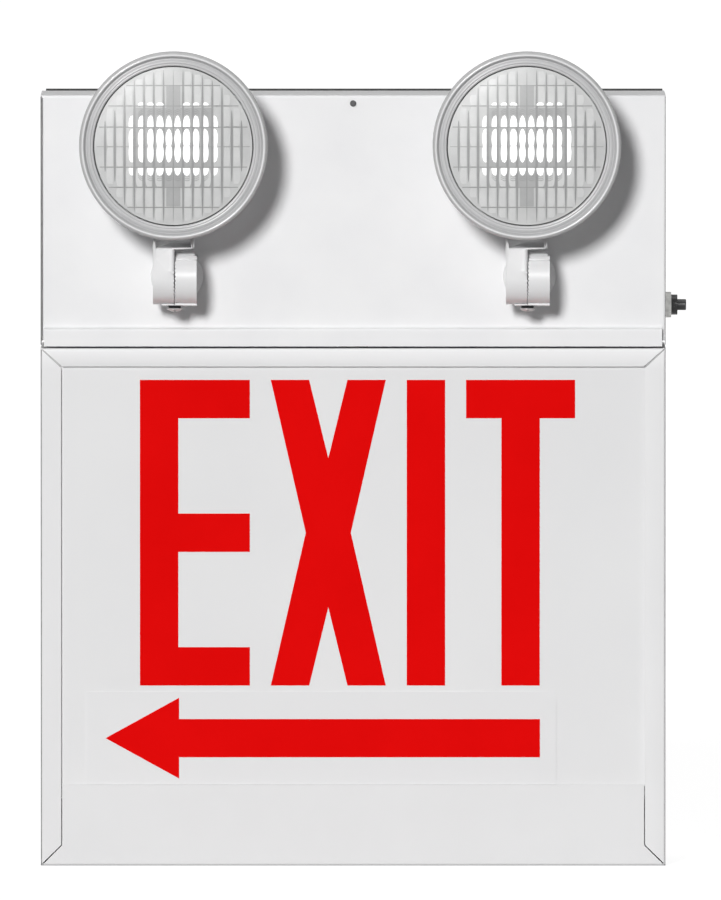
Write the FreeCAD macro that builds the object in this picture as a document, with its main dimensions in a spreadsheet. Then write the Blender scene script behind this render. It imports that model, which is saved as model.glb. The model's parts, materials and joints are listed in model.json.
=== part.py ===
import FreeCAD, Part
import os
import re
import Sketcher
from FreeCAD import Placement, Rotation, Vector

# Emergency exit light: a steel case for a wall, with a sign box below, a battery box above,
# and two round lamp heads on tilting knuckles. Millimetres.
# X runs across the case, Z up the wall, and the wall is the plane Y = 0 with the room at -Y.
# "Out" is the distance from the wall into the room, and "up" is the height above the case's foot.
# The origin is on the wall face, at the middle of the four wall screws.

doc = FreeCAD.newDocument("EmergencyExitLight")
sheet = doc.addObject("Spreadsheet::Sheet", "Sizes")

drivingSizes = [
    # steel case
    ("caseWidth", 415.0, "width of the whole case"),
    ("caseHeight", 512.0, "height of the whole case"),
    ("caseDepth", 102.0, "wall to the front of the sign box"),
    ("signHeight", 344.0, "height of the sign box"),
    ("sheetGauge", 1.2, "steel sheet"),
    ("bendRadius", 1.6, "outside radius of a fold"),
    ("slipGap", 0.2, "clearance between nested sheets"),
    ("overcut", 1.0, "how far a cut runs past the face it opens"),
    # battery box cover
    ("coverStep", 4.0, "how far the cover face sits behind the sign box front"),
    ("seamGap", 1.2, "open line between the cover lip and the sign box"),
    ("lipHeight", 12.0, "height of the pull lip along the cover's lower edge"),
    ("lipInset", 2.3, "how much shorter the lip is at each end"),
    ("lipBend", 1.8, "radius of the hollow bend above the lip"),
    ("skirtLift", 5.0, "gap from the sign box to the end of the cover's sides"),
    ("coverScrewDrop", 5.5, "cover screw below the top of the case"),
    ("coverScrewRadius", 1.5, "cover screw thread"),
    ("coverScrewHead", 2.1, "cover screw head radius"),
    ("coverScrewProud", 1.0, "cover screw head height"),
    ("screwGap", 0.1, "clearance round a fixed screw"),
    # sign box front
    ("sideFlange", 13.6, "width of the front flanges at the sides"),
    ("topFlange", 12.2, "width of the front flange along the top"),
    ("sillHeight", 53.7, "height of the plate below the sign panel"),
    ("mitreSlit", 0.6, "open line at the mitred corners"),
    # back pan
    ("panFlange", 20.0, "depth of the back pan"),
    ("wallHoleSpan", 340.0, "wall screws, across"),
    ("wallHoleRise", 400.0, "wall screws, up"),
    ("wallHoleRadius", 3.25, "wall screw hole"),
    ("entryRadius", 11.1, "wire entry hole"),
    ("entryDrop", 48.0, "wire entry below the top of the case"),
    ("boxHoleSpan", 88.9, "outlet box screws, across"),
    ("boxHoleRadius", 2.4, "outlet box screw hole"),
    ("rivetRadius", 2.0, "flush rivet"),
    ("rivetOut", 11.0, "wall to the rivets"),
    ("rivetFoot", 60.0, "height of the lowest rivet"),
    ("rivetCount", 3, "rivets on each side"),
    ("rivetGap", 0.05, "clearance round a rivet"),
    # bracket behind the cover screw
    ("bracketWidth", 20.0, "width of the cover bracket"),
    ("bracketDrop", 14.0, "bracket's arm below the top of the case"),
    ("bracketFoot", 16.0, "height of the bracket's foot"),
    ("bracketEar", 12.0, "height of the bracket's ear"),
    # sign panel and what lights it
    ("gasketGauge", 1.4, "felt strip between the flange and the panel"),
    ("gasketShow", 1.2, "felt set back from the window edge"),
    ("gasketWidth", 8.0, "felt strip width"),
    ("panelGauge", 2.4, "sign panel thickness"),
    ("panelLap", 9.0, "how far the panel runs past the window"),
    ("arrowPlateWidth", 312.2, "arrow plate"),
    ("arrowPlateHeight", 62.1, "arrow plate"),
    ("arrowPlateShift", 21.0, "arrow plate centre, left of the case's middle"),
    ("arrowPlateGauge", 0.5, "arrow plate thickness"),
    ("retainerLeg", 9.0, "panel retainer, behind the panel"),
    ("retainerDepth", 14.0, "panel retainer, along the side wall"),
    ("retainerMargin", 6.0, "retainer ends short of the panel's ends"),
    ("liningGauge", 0.8, "white lining sheet"),
    ("liningOut", 30.0, "wall to the front of the white lining"),
    ("liningMargin", 8.0, "gap round the white lining"),
    ("ledBoardMargin", 19.5, "LED board ends short of the case's sides"),
    ("ledBoardWidth", 12.0, "LED board"),
    ("ledBoardGauge", 1.6, "LED board"),
    ("ledBoardInset", 40.0, "sign front back to the middle of the LED boards"),
    ("ledChipWidth", 5.0, "LED"),
    ("ledChipDepth", 3.0, "LED"),
    ("ledChipHeight", 1.2, "LED"),
    ("ledCount", 12, "LEDs on each board"),
    ("passRadius", 8.0, "wire pass in the top of the sign box"),
    ("passInset", 22.0, "cover face back to the wire pass"),
    ("grommetWall", 1.5, "grommet"),
    ("grommetLip", 2.0, "grommet"),
    # battery
    ("batteryWidth", 151.0, "sealed battery"),
    ("batteryDepth", 50.0, "sealed battery"),
    ("batteryHeight", 94.0, "sealed battery"),
    ("batteryLid", 12.0, "height of the battery's lid"),
    ("batteryLidInset", 1.0, "lid set in all round"),
    ("batteryEdge", 3.0, "rounded upright edges of the battery"),
    ("tabWidth", 6.3, "battery terminal"),
    ("tabHeight", 6.5, "battery terminal"),
    ("tabGauge", 0.8, "battery terminal"),
    ("tabInset", 16.0, "battery terminal from the end"),
    ("strapWidth", 22.0, "battery strap"),
    ("strapRise", 44.0, "strap's middle above the sign box"),
    ("strapFoot", 14.0, "strap foot on the back pan"),
    ("strapGap", 0.3, "strap to battery"),
    # transformer
    ("coreWidth", 66.0, "transformer core"),
    ("coreHeight", 55.0, "transformer core"),
    ("coreStack", 24.0, "transformer core"),
    ("coreLeg", 11.0, "outer legs of the core"),
    ("coilWall", 10.0, "coil thickness round the middle leg"),
    ("coilGap", 0.2, "coil to core"),
    ("coreInset", 28.5, "transformer core from the case's left side"),
    ("coreDrop", 22.5, "transformer core below the top of the case"),
    ("yokeFoot", 12.0, "transformer clamp foot"),
    # charger board
    ("boardWidth", 112.0, "charger board"),
    ("boardHeight", 82.0, "charger board"),
    ("boardGauge", 1.6, "charger board"),
    ("boardInset", 14.5, "charger board from the case's right side"),
    ("boardDrop", 16.0, "charger board below the top of the case"),
    ("standoffHeight", 10.0, "standoff"),
    ("standoffRadius", 3.0, "standoff"),
    ("standoffInset", 6.0, "standoff from the board's edges"),
    ("relayWidth", 19.0, "relay"),
    ("relayHeight", 15.5, "relay"),
    ("relayDepth", 15.3, "relay"),
    ("capRadius", 8.0, "large capacitor"),
    ("capHeight", 25.0, "large capacitor"),
    ("smallCapRadius", 6.0, "small capacitor"),
    ("smallCapHeight", 20.0, "small capacitor"),
    ("capGap", 6.0, "capacitor to capacitor"),
    ("sinkWidth", 30.0, "heat sink"),
    ("sinkDepth", 22.0, "heat sink"),
    ("sinkHeight", 20.0, "heat sink"),
    ("finGauge", 1.5, "heat sink fin"),
    ("finSlots", 5, "slots between the fins"),
    ("finRoot", 3.0, "heat sink below the slots"),
    ("blockWidth", 40.0, "terminal block"),
    ("blockHeight", 12.0, "terminal block"),
    ("blockDepth", 14.0, "terminal block"),
    ("wellCount", 5, "screw wells in the terminal block"),
    ("wellRadius", 2.5, "screw well"),
    ("wellDepth", 7.0, "screw well"),
    # test switch on the right side of the cover
    ("switchRise", 27.0, "test switch above the sign box"),
    ("switchOut", 50.0, "wall to the test switch"),
    ("switchSize", 18.0, "switch body behind the wall"),
    ("switchDepth", 20.0, "switch body behind the wall"),
    ("bushRadius", 5.9, "threaded bush"),
    ("bushGap", 0.1, "clearance round the bush"),
    ("nutCorners", 17.1, "switch nut across its corners"),
    ("nutHeight", 4.2, "switch nut"),
    ("collarRadius", 6.75, "black collar"),
    ("collarHeight", 4.1, "black collar"),
    ("plungerRadius", 3.7, "test button"),
    ("plungerProud", 5.8, "test button past the collar"),
    ("plungerSunk", 9.0, "test button inside the bush"),
    ("plungerTravel", 2.5, "test button travel"),
    ("plungerGap", 0.08, "running clearance of the test button"),
    # lamp heads: knuckle
    ("headSpread", 234.0, "left swivel axis to right swivel axis"),
    ("headRise", 47.8, "swivel axes above the sign box"),
    ("knuckleOut", 30.0, "cover face to the tilt axis"),
    ("knuckleRadius", 17.6, "radius of both knuckle halves"),
    ("armReach", 15.7, "arm half, left of the swivel axis"),
    ("baseReach", 13.3, "base half, right of the swivel axis"),
    ("splitShift", 1.3, "split between the halves, left of the swivel axis"),
    ("toothHeight", 0.8, "knuckle teeth at the rim"),
    ("toothGap", 0.06, "tips of one face to the tips of the other"),
    ("toothFoot", 10.0, "inner radius of the teeth"),
    ("toothCount", 40, "teeth on each face"),
    ("swivelGap", 0.1, "running clearance of the swivel"),
    ("domeRadius", 17.4, "domed foot of the head"),
    ("domeHeight", 9.0, "domed foot of the head"),
    ("domeEdge", 1.5, "straight edge of the domed foot"),
    ("domeCurve", 28.0, "radius of the dome"),
    ("stemHalf", 12.0, "half height of the stem at the dome"),
    ("ledgeLevel", 12.9, "ledge on the base half, above the tilt axis"),
    ("ledgeRadius", 17.0, "radius of the ledge"),
    ("ledgeReach", 11.8, "ledge, right of the swivel axis"),
    ("ledgeGroove", 0.9, "groove under the ledge, width"),
    ("ledgeSink", 1.2, "groove under the ledge, depth"),
    ("ledgeStep", 2.0, "step at the ledge's right end"),
    ("stopInset", 0.6, "tilt stop from the mating face"),
    ("stopWidth", 3.3, "tilt stop"),
    ("stopRadius", 18.4, "tilt stop"),
    ("stopDepth", 4.0, "tilt stop"),
    ("saddleGap", 0.25, "arm to saddle"),
    ("saddleWall", 0.9, "saddle under the knuckle"),
    ("saddleReach", 10.0, "saddle, left of the swivel axis"),
    ("saddleHalf", 5.2, "half width of the saddle"),
    ("boltRadius", 2.5, "pivot bolt"),
    ("boltGap", 0.05, "running clearance round the pivot bolt"),
    ("boltHead", 4.6, "pivot bolt head radius"),
    ("boltHeadHeight", 3.4, "pivot bolt head"),
    ("pocketRadius", 5.3, "pockets for the bolt head and nut"),
    ("pocketDepth", 4.2, "pockets for the bolt head and nut"),
    ("boltEndGap", 0.3, "bolt head and nut below the outside faces"),
    ("pivotNutFlats", 8.0, "pivot nut across flats"),
    ("pivotNutHeight", 3.5, "pivot nut"),
    ("clampHead", 5.0, "clamp screw head radius"),
    ("clampHeadHeight", 2.3, "clamp screw head"),
    ("clampCollar", 4.1, "collar between the saddle and the clamp screw's head"),
    ("clampCollarHeight", 1.3, "collar"),
    ("clampShank", 2.0, "clamp screw thread"),
    ("slotWidth", 1.2, "screwdriver slot"),
    ("slotDepth", 1.2, "screwdriver slot"),
    ("nippleRadius", 5.0, "hollow threaded nipple"),
    ("nippleBore", 3.4, "wire way through the nipple"),
    ("nippleSeat", 5.0, "nipple inside the dome"),
    ("nippleTail", 14.0, "nipple behind the cover face"),
    ("washerRadius", 11.0, "spring washer"),
    ("washerGauge", 1.0, "spring washer"),
    ("locknutFlats", 17.0, "locknut across flats"),
    ("locknutHeight", 5.0, "locknut"),
    # lamp heads: neck, shell, ring and lamp; depths are out from the cover face
    ("lampRise", 88.4, "tilt axis to the lamp's axis"),
    ("lampShift", 2.0, "lamp's axis, left of the swivel axis"),
    ("neckRight", 11.6, "neck, right of the swivel axis"),
    ("neckBack", 10.5, "tilt axis to the back of the neck"),
    ("neckFoot", 19.6, "underside of the neck above the tilt axis"),
    ("neckTop", 46.0, "top of the neck inside the shell's wall"),
    ("neckRib", 2.0, "ribs at the neck's sides"),
    ("neckFloor", 1.0, "wall under the neck's hollow"),
    ("neckHollow", 12.0, "depth of the neck's hollow"),
    ("neckHollowTop", 27.8, "top of the neck's hollow above the tilt axis"),
    ("armRound", 2.0, "rounded edge of the arm beside the split"),
    ("armRoundFoot", 4.6, "where that rounding begins above the tilt axis"),
    ("panelSink", 0.5, "sunk panel on the arm"),
    ("panelLow", 5.3, "foot of the sunk panel above the tilt axis"),
    ("panelCorner", 13.3, "where the sunk panel's slanting edge meets the rib"),
    ("panelTurn", 7.8, "how far the slanting edge runs across"),
    ("bezelRadius", 62.4, "lamp ring"),
    ("bezelWall", 2.0, "lamp ring skirt"),
    ("bezelGap", 0.3, "lamp ring to shell"),
    ("skirtOut", 50.0, "back edge of the lamp ring"),
    ("bezelSeatOut", 60.3, "inner face of the lamp ring"),
    ("bezelCrestOut", 64.0, "front crest of the lamp ring"),
    ("bezelCrest", 60.3, "radius of the crest"),
    ("bezelRound", 2.1, "outer edge of the lamp ring"),
    ("grooveRadius", 57.8, "groove in the lamp ring"),
    ("grooveOut", 61.2, "groove in the lamp ring"),
    ("landRadius", 55.8, "land inside the groove"),
    ("landOut", 62.4, "land inside the groove"),
    ("bezelMouth", 53.0, "lamp ring opening"),
    ("mouthOut", 61.3, "inner edge of the lamp ring"),
    ("shellBackOut", 12.0, "back of the lamp shell"),
    ("shellBack", 28.0, "radius of the shell's flat back"),
    ("shellCurve", 38.0, "curve of the shell"),
    ("shellShoulderOut", 46.0, "where the shell's curve ends"),
    ("shellRimOut", 60.0, "front edge of the shell"),
    ("shellWall", 2.0, "shell wall"),
    ("lampRadius", 56.5, "sealed lamp"),
    ("lampLedge", 3.0, "ledge in the shell that carries the lamp"),
    ("lampRimOut", 59.0, "front of the lamp's rim"),
    ("lampRimDepth", 4.5, "glass rim"),
    ("lampFlange", 1.2, "reflector flange"),
    ("lensRadius", 52.5, "fluted field of the lens"),
    ("lensBackOut", 57.5, "back of the fluted field"),
    ("lensEdgeOut", 61.0, "front edge of the fluted field"),
    ("lensCrownOut", 63.6, "crown of the lens"),
    ("flutePitch", 6.45, "upright flutes"),
    ("fluteDepth", 0.9, "upright flutes"),
    ("fluteCount", 16, "upright flutes"),
    ("barPitch", 13.6, "level bars"),
    ("barWidth", 1.6, "level bars"),
    ("barDepth", 1.1, "level bars"),
    ("barCount", 7, "level bars"),
    ("bowlMouth", 50.5, "reflector"),
    ("bowlBack", 8.0, "reflector"),
    ("bowlBackOut", 21.0, "reflector"),
    ("bowlCurve", 58.0, "reflector"),
    ("bowlWall", 1.4, "reflector"),
    ("bowlBossOut", 16.5, "reflector boss"),
    ("bowlBoss", 13.0, "reflector boss"),
    ("capsuleRadius", 5.0, "lamp capsule"),
    ("capsuleLength", 20.0, "lamp capsule"),
    ("terminalRadius", 2.2, "lamp terminal"),
    ("terminalHeight", 2.3, "lamp terminal"),
    ("terminalSpan", 15.0, "terminal to terminal"),
]

# Places that follow from the sizes above.
derivedSizes = [
    ("coverOut", "caseDepth-coverStep"),
    ("coverScrewLevel", "caseHeight-coverScrewDrop"),
    ("entryLevel", "caseHeight-entryDrop"),
    ("bracketLevel", "caseHeight-bracketDrop"),
    ("rivetPitch", "(signHeight-2*rivetFoot)/(rivetCount-1)"),
    ("ledBoardLength", "caseWidth-2*ledBoardMargin"),
    ("ledChipPitch", "ledBoardLength/ledCount"),
    ("coreX", "coreInset+coreWidth/2-caseWidth/2"),
    ("coreLevel", "caseHeight-coreDrop-coreHeight/2"),
    ("boardX", "caseWidth/2-boardInset-boardWidth/2"),
    ("boardLevel", "caseHeight-boardDrop-boardHeight/2"),
    ("batteryX", "(coreX+coreWidth/2+boardX-boardWidth/2)/2"),
    ("strapLevel", "signHeight+strapRise"),
    ("switchLevel", "signHeight+switchRise"),
    ("headLevel", "signHeight+headRise"),
    ("upperRow", "boardLevel+boardHeight/5"),
    ("lowerRow", "boardLevel-boardHeight/5"),
    ("relayX", "boardX-boardWidth/4"),
    ("smallCapX", "boardX+capRadius+capGap+smallCapRadius"),
    ("finPitch", "(sinkWidth-finGauge)/finSlots"),
    ("blockX", "boardX+boardWidth/5"),
    ("blockLevel", "boardLevel-boardHeight/3"),
    ("wellPitch", "blockWidth/wellCount"),
    ("wallIn", "caseWidth/2-sheetGauge"),
    ("panHalf", "wallIn-slipGap"),
    ("lipTop", "signHeight+seamGap+lipHeight"),
    ("lipHalf", "caseWidth/2-lipInset"),
    ("windowHalf", "caseWidth/2-sideFlange"),
    ("windowTop", "signHeight-topFlange"),
    ("panelFront", "caseDepth-sheetGauge-gasketGauge"),
    ("panelBack", "panelFront-panelGauge"),
    ("retainerFoot", "sillHeight-panelLap+retainerMargin"),
    ("boardBack", "sheetGauge+standoffHeight"),
    ("boardFront", "boardBack+boardGauge"),
    ("passOut", "caseDepth-passInset"),
    ("ledBoardOut", "caseDepth-ledBoardInset"),
    ("armFace", "-splitShift-toothGap/2"),
    ("baseFace", "-splitShift+toothGap/2"),
    ("ledgeFront", "sqrt(ledgeRadius^2-ledgeLevel^2)"),
    ("grooveIn", "sqrt(knuckleRadius^2-ledgeLevel^2)-ledgeSink"),
    ("saddleIn", "knuckleRadius+saddleGap"),
    ("saddleOut", "saddleIn+saddleWall"),
    ("shellRadius", "bezelRadius-bezelWall-bezelGap"),
    ("shellBore", "shellRadius-shellWall"),
    ("lampSeatOut", "lampRimOut-lampRimDepth-lampFlange"),
    ("fluteRadius", "(fluteDepth^2+(flutePitch/2)^2)/(2*fluteDepth)"),
    ("lensDome", "lensCrownOut-lensEdgeOut"),
    ("lensCurve", "(lensDome^2+lensRadius^2)/(2*lensDome)"),
]

aliases = set()


def toSheet(text):
    # A formula in plain size names becomes one that reads the spreadsheet.
    return re.sub(r"[A-Za-z]\w*", lambda word: "Sizes." + word[0] if word[0] in aliases else word[0], str(text))


def fillSheet():
    row = 0
    for alias, value, note in drivingSizes:
        row += 1
        sheet.set(f"A{row}", alias)
        sheet.set(f"B{row}", str(value))
        sheet.set(f"C{row}", note)
        sheet.setAlias(f"B{row}", alias)
        aliases.add(alias)
    for alias, formula in derivedSizes:
        row += 1
        sheet.set(f"A{row}", alias)
        sheet.set(f"B{row}", "=" + formula)
        sheet.setAlias(f"B{row}", alias)
        aliases.add(alias)
    doc.recompute()


fillSheet()


def size(text):
    return float(sheet.evalExpression(toSheet(text)))


def bind(thing, prop, text):
    thing.setExpression(prop, toSheet(text))


subParts = []


def keep(thing, label):
    thing.Label = label
    subParts.append(thing)
    return thing


# ---- outlines -----------------------------------------------------------------------------


def rectangle(left, right, low, high):
    return [(left, low), (right, low), (right, high), (left, high)]


def mirrored(outline):
    # The same outline on the other side of the upright centre line.
    return [(f"-({corner[0]})",) + tuple(corner[1:]) for corner in outline]


def circle(across, up, radius):
    return ("circle", across, up, radius)


def arc(radius, side):
    # The edge that leaves a corner as an arc; side 1 bulges to the left of its run, -1 to the right.
    return (radius, side)


def arcEdge(start, end, radius, side):
    chord = end - start
    toMiddle = Vector(chord.y, -chord.x, 0).normalize() * side
    rise = (radius ** 2 - (chord.Length / 2) ** 2) ** 0.5
    centre = (start + end) / 2 + toMiddle * rise
    crown = centre - toMiddle * radius
    return Part.Arc(start, crown, end)


def drawOutline(sketch, outline):
    if outline[0] == "circle":
        _, across, up, radius = outline
        edge = sketch.addGeometry(Part.Circle(Vector(size(across), size(up), 0), Vector(0, 0, 1), size(radius)), False)
        constrain(sketch, "Radius", radius, edge)
        constrain(sketch, "DistanceX", across, edge, 3)
        constrain(sketch, "DistanceY", up, edge, 3)
        return
    points = [Vector(size(corner[0]), size(corner[1]), 0) for corner in outline]
    ends = []
    for index, corner in enumerate(outline):
        start, end = points[index], points[(index + 1) % len(points)]
        if len(corner) == 2:
            edge = sketch.addGeometry(Part.LineSegment(start, end), False)
            ends.append((edge, 1, 2))
            continue
        radius, side = corner[2]
        edge = sketch.addGeometry(arcEdge(start, end, size(radius), side), False)
        # A sketch keeps its arcs anticlockwise, so the run may start at the arc's far end.
        first = sketch.getPoint(edge, 1)
        ends.append((edge, 1, 2) if (first - start).Length < (first - end).Length else (edge, 2, 1))
        constrain(sketch, "Radius", radius, edge)
    for index, (edge, head, tail) in enumerate(ends):
        after = ends[(index + 1) % len(ends)]
        sketch.addConstraint(Sketcher.Constraint("Coincident", edge, tail, after[0], after[1]))
        constrain(sketch, "DistanceX", outline[index][0], edge, head)
        constrain(sketch, "DistanceY", outline[index][1], edge, head)


def constrain(sketch, kind, text, *where):
    number = sketch.addConstraint(Sketcher.Constraint(kind, *where, size(text)))
    bind(sketch, f"Constraints[{number}]", text)


# ---- bodies made of sketches --------------------------------------------------------------

# Each view's plane, the turn that makes its drawing axes run as named, and whether a growing
# feature has to be reversed to run towards the room, the right or the top.
views = {
    "front": ("XZ_Plane", Rotation(), False),                   # across, up; grows out
    "side": ("YZ_Plane", Rotation(Vector(0, 1, 0), 180), True),   # out, up; grows to the right
    "plan": ("XY_Plane", Rotation(Vector(1, 0, 0), 180), True),   # across, out; grows up
}


class Piece:
    # One solid as a PartDesign body, drawn from its own origin and placed by three formulas.

    def __init__(self, label, across="0", out="0", up="0"):
        self.body = keep(doc.addObject("PartDesign::Body", label), label)
        bind(self.body, "Placement.Base.x", across)
        bind(self.body, "Placement.Base.y", f"-({out})")
        bind(self.body, "Placement.Base.z", f"{up}-caseHeight/2")

    def sketch(self, view, start, outlines, shift=("0", "0")):
        role, turn, _ = views[view]
        plane = next(item for item in self.body.Origin.OriginFeatures if item.Role == role)
        sketch = self.body.newObject("Sketcher::SketchObject", "Sketch")
        sketch.AttachmentSupport = [(plane, "")]
        sketch.MapMode = "FlatFace"
        sketch.AttachmentOffset = Placement(Vector(0, 0, 0), turn)
        first = f"-({shift[0]})" if view == "side" else shift[0]
        second = f"-({shift[1]})" if view == "plan" else shift[1]
        bind(sketch, "AttachmentOffset.Base.x", first)
        bind(sketch, "AttachmentOffset.Base.y", second)
        bind(sketch, "AttachmentOffset.Base.z", start)
        for outline in outlines:
            drawOutline(sketch, outline)
        return sketch

    def feature(self, kind, sketch):
        made = self.body.newObject("PartDesign::" + kind, kind)
        made.Profile = sketch
        sketch.Visibility = False
        return made

    def grow(self, view, start, end, *outlines, shift=("0", "0")):
        pad = self.feature("Pad", self.sketch(view, start, outlines, shift))
        bind(pad, "Length", f"{end}-({start})")
        pad.Reversed = views[view][2]
        doc.recompute()
        return pad

    def cut(self, view, start, end, *outlines, shift=("0", "0")):
        pocket = self.feature("Pocket", self.sketch(view, start, outlines, shift))
        bind(pocket, "Length", f"{end}-({start})")
        pocket.Reversed = not views[view][2]
        doc.recompute()
        return pocket

    def turn(self, outline, view="side", start="0", shift=("0", "0"), kind="Revolution", axis="H_Axis"):
        # A turned form: the outline goes once round the drawing's own axis.
        sketch = self.sketch(view, start, [outline], shift)
        made = self.feature(kind, sketch)
        made.ReferenceAxis = (sketch, [axis])
        made.Angle = 360
        doc.recompute()
        return made

    def repeat(self, kind, feature, axis, count, **bound):
        pattern = self.body.newObject("PartDesign::" + kind, kind)
        pattern.Originals = [feature]
        if kind == "PolarPattern":
            pattern.Axis = axis
            pattern.Angle = 360
        else:
            pattern.Direction = axis
        for prop, text in bound.items():
            bind(pattern, prop, text)
        pattern.Occurrences = count
        self.body.Tip = pattern
        doc.recompute()
        return pattern

    def axis(self, role):
        return (next(item for item in self.body.Origin.OriginFeatures if item.Role == role), [""])

    def edges(self, across=None, out=None, up=None):
        # Names of the edges that lie wholly at the given places, in the piece's own frame.
        names = []
        for number, edge in enumerate(self.body.Tip.Shape.Edges, start=1):
            box = edge.BoundBox
            wanted = [(across, box.XMin, box.XMax, 1), (out, box.YMin, box.YMax, -1), (up, box.ZMin, box.ZMax, 1)]
            if all(text is None or max(abs(low - sign * size(text)), abs(high - sign * size(text))) < 0.01
                   for text, low, high, sign in wanted):
                names.append(f"Edge{number}")
        return names

    def round(self, radius, *places):
        names = [name for place in places for name in self.edges(**place)]
        base = self.body.Tip
        fillet = self.body.newObject("PartDesign::Fillet", "Fillet")
        fillet.Base = (base, names)
        bind(fillet, "Radius", radius)
        doc.recompute()
        return fillet


# ---- plain solids -------------------------------------------------------------------------


def box(across, out, up):
    made = doc.addObject("Part::Box", "Box")
    bind(made, "Length", f"({across[1]})-({across[0]})")
    bind(made, "Width", f"({out[1]})-({out[0]})")
    bind(made, "Height", f"({up[1]})-({up[0]})")
    bind(made, "Placement.Base.x", across[0])
    bind(made, "Placement.Base.y", f"-({out[1]})")
    bind(made, "Placement.Base.z", f"{up[0]}-caseHeight/2")
    return made


def middle(centre, width):
    return (f"({centre})-({width})/2", f"({centre})+({width})/2")


rodTurns = {"out": Rotation(Vector(1, 0, 0), 90), "across": Rotation(Vector(0, 1, 0), 90), "up": Rotation()}


def rod(direction, radius, across, out, up, length, flats=0):
    # A round bar, or a six-sided one, from the given end point.
    made = doc.addObject("Part::Prism" if flats else "Part::Cylinder", "Rod")
    if flats:
        made.Polygon = flats
        bind(made, "Circumradius", radius)
    else:
        bind(made, "Radius", radius)
    bind(made, "Height", length)
    made.Placement = Placement(Vector(0, 0, 0), rodTurns[direction])
    bind(made, "Placement.Base.x", across)
    bind(made, "Placement.Base.y", f"-({out})")
    bind(made, "Placement.Base.z", f"{up}-caseHeight/2")
    return made


def join(*things):
    made = doc.addObject("Part::MultiFuse", "Join")
    made.Shapes = list(things)
    made.Refine = True
    return made


def without(base, *tools):
    made = doc.addObject("Part::Cut", "Cut")
    made.Base = base
    made.Tool = tools[0] if len(tools) == 1 else join(*tools)
    return made


def group(label, things):
    made = keep(doc.addObject("Part::Compound", label), label)
    made.Links = things
    return made


sixFlats = "1.1547005"   # across flats to across corners of a hexagon

# ---- steel case ---------------------------------------------------------------------------


def makeBackPan():
    # A shallow tray against the wall; the sign box and the cover slip over its flanges.
    pan = Piece("back_pan")
    low, high = "sheetGauge+slipGap", "caseHeight-sheetGauge-slipGap"
    pan.grow("front", "0", "panFlange", rectangle("-panHalf", "panHalf", low, high))
    pan.cut("front", "sheetGauge", "panFlange+overcut", rectangle(
        "-panHalf+sheetGauge", "panHalf-sheetGauge", f"{low}+sheetGauge", f"{high}-sheetGauge"))
    pan.round("bendRadius", dict(out="0", up=low), dict(out="0", up=high),
              dict(out="0", across="panHalf"), dict(out="0", across="-panHalf"))
    holes = [circle(f"{side}*wallHoleSpan/2", f"caseHeight/2+{rise}*wallHoleRise/2", "wallHoleRadius")
             for side in ("-1", "1") for rise in ("-1", "1")]
    holes += [circle(f"{side}*boxHoleSpan/2", "entryLevel", "boxHoleRadius") for side in ("-1", "1")]
    holes.append(circle("0", "entryLevel", "entryRadius"))
    pan.cut("front", "-overcut", "sheetGauge+overcut", *holes)
    cutRivetHoles(pan)


def cutRivetHoles(piece):
    piece.cut("side", "-caseWidth/2-overcut", "caseWidth/2+overcut", *[
        circle("rivetOut", f"rivetFoot+{step}*rivetPitch", "rivetRadius+rivetGap") for step in range(3)])


def makeSignBox():
    # One folded sheet: four walls, and front flanges that meet at open mitres.
    sign = Piece("sign_housing")
    half = "caseWidth/2"
    sign.grow("front", "0", "caseDepth", rectangle("-" + half, half, "0", "signHeight"))
    sign.cut("front", "-overcut", "caseDepth-sheetGauge", rectangle(
        "-wallIn", "wallIn", "sheetGauge", "signHeight-sheetGauge"))
    sign.cut("front", "caseDepth-sheetGauge-overcut", "caseDepth+overcut", rectangle(
        "-windowHalf", "windowHalf", "sillHeight", "windowTop"))
    # The top wall is notched round the back pan.
    sign.cut("front", "-overcut", "sheetGauge+slipGap", rectangle(
        "-wallIn", "wallIn", "signHeight-sheetGauge-overcut", "signHeight+overcut"))
    notch = rectangle("panHalf-sheetGauge-slipGap", "wallIn", "signHeight-sheetGauge-overcut", "signHeight+overcut")
    sign.cut("front", "-overcut", "panFlange+slipGap", notch, mirrored(notch))
    sign.cut("plan", "signHeight-sheetGauge-overcut", "signHeight+overcut", circle("0", "passOut", "passRadius"))
    sign.round("bendRadius", dict(out="caseDepth", up="0"), dict(out="caseDepth", up="signHeight"),
               dict(out="caseDepth", across=half), dict(out="caseDepth", across="-" + half))
    # Open lines: a mitre at each corner, and one beside the sill plate at each end.
    slit = "mitreSlit"
    top = [("windowHalf", "windowTop-overcut"), (half + "+overcut", "signHeight-mitreSlit+overcut"),
           (half + "+overcut", "signHeight+overcut"), (f"{half}-{slit}+overcut", "signHeight+overcut"),
           ("windowHalf-overcut", "windowTop")]
    foot = [("windowHalf", "sillHeight+overcut"), (f"windowHalf-{slit}", "sillHeight+overcut"),
            (f"windowHalf-{slit}", "sideFlange"), (f"{half}-{slit}+overcut", "-overcut"),
            (half + "+overcut", "-overcut"), (half + "+overcut", slit + "-overcut"), ("windowHalf", f"sideFlange+{slit}/2")]
    for outline in (top, foot):
        sign.cut("front", "caseDepth-sheetGauge-overcut", "caseDepth+overcut", outline, mirrored(outline))
    cutRivetHoles(sign)


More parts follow.
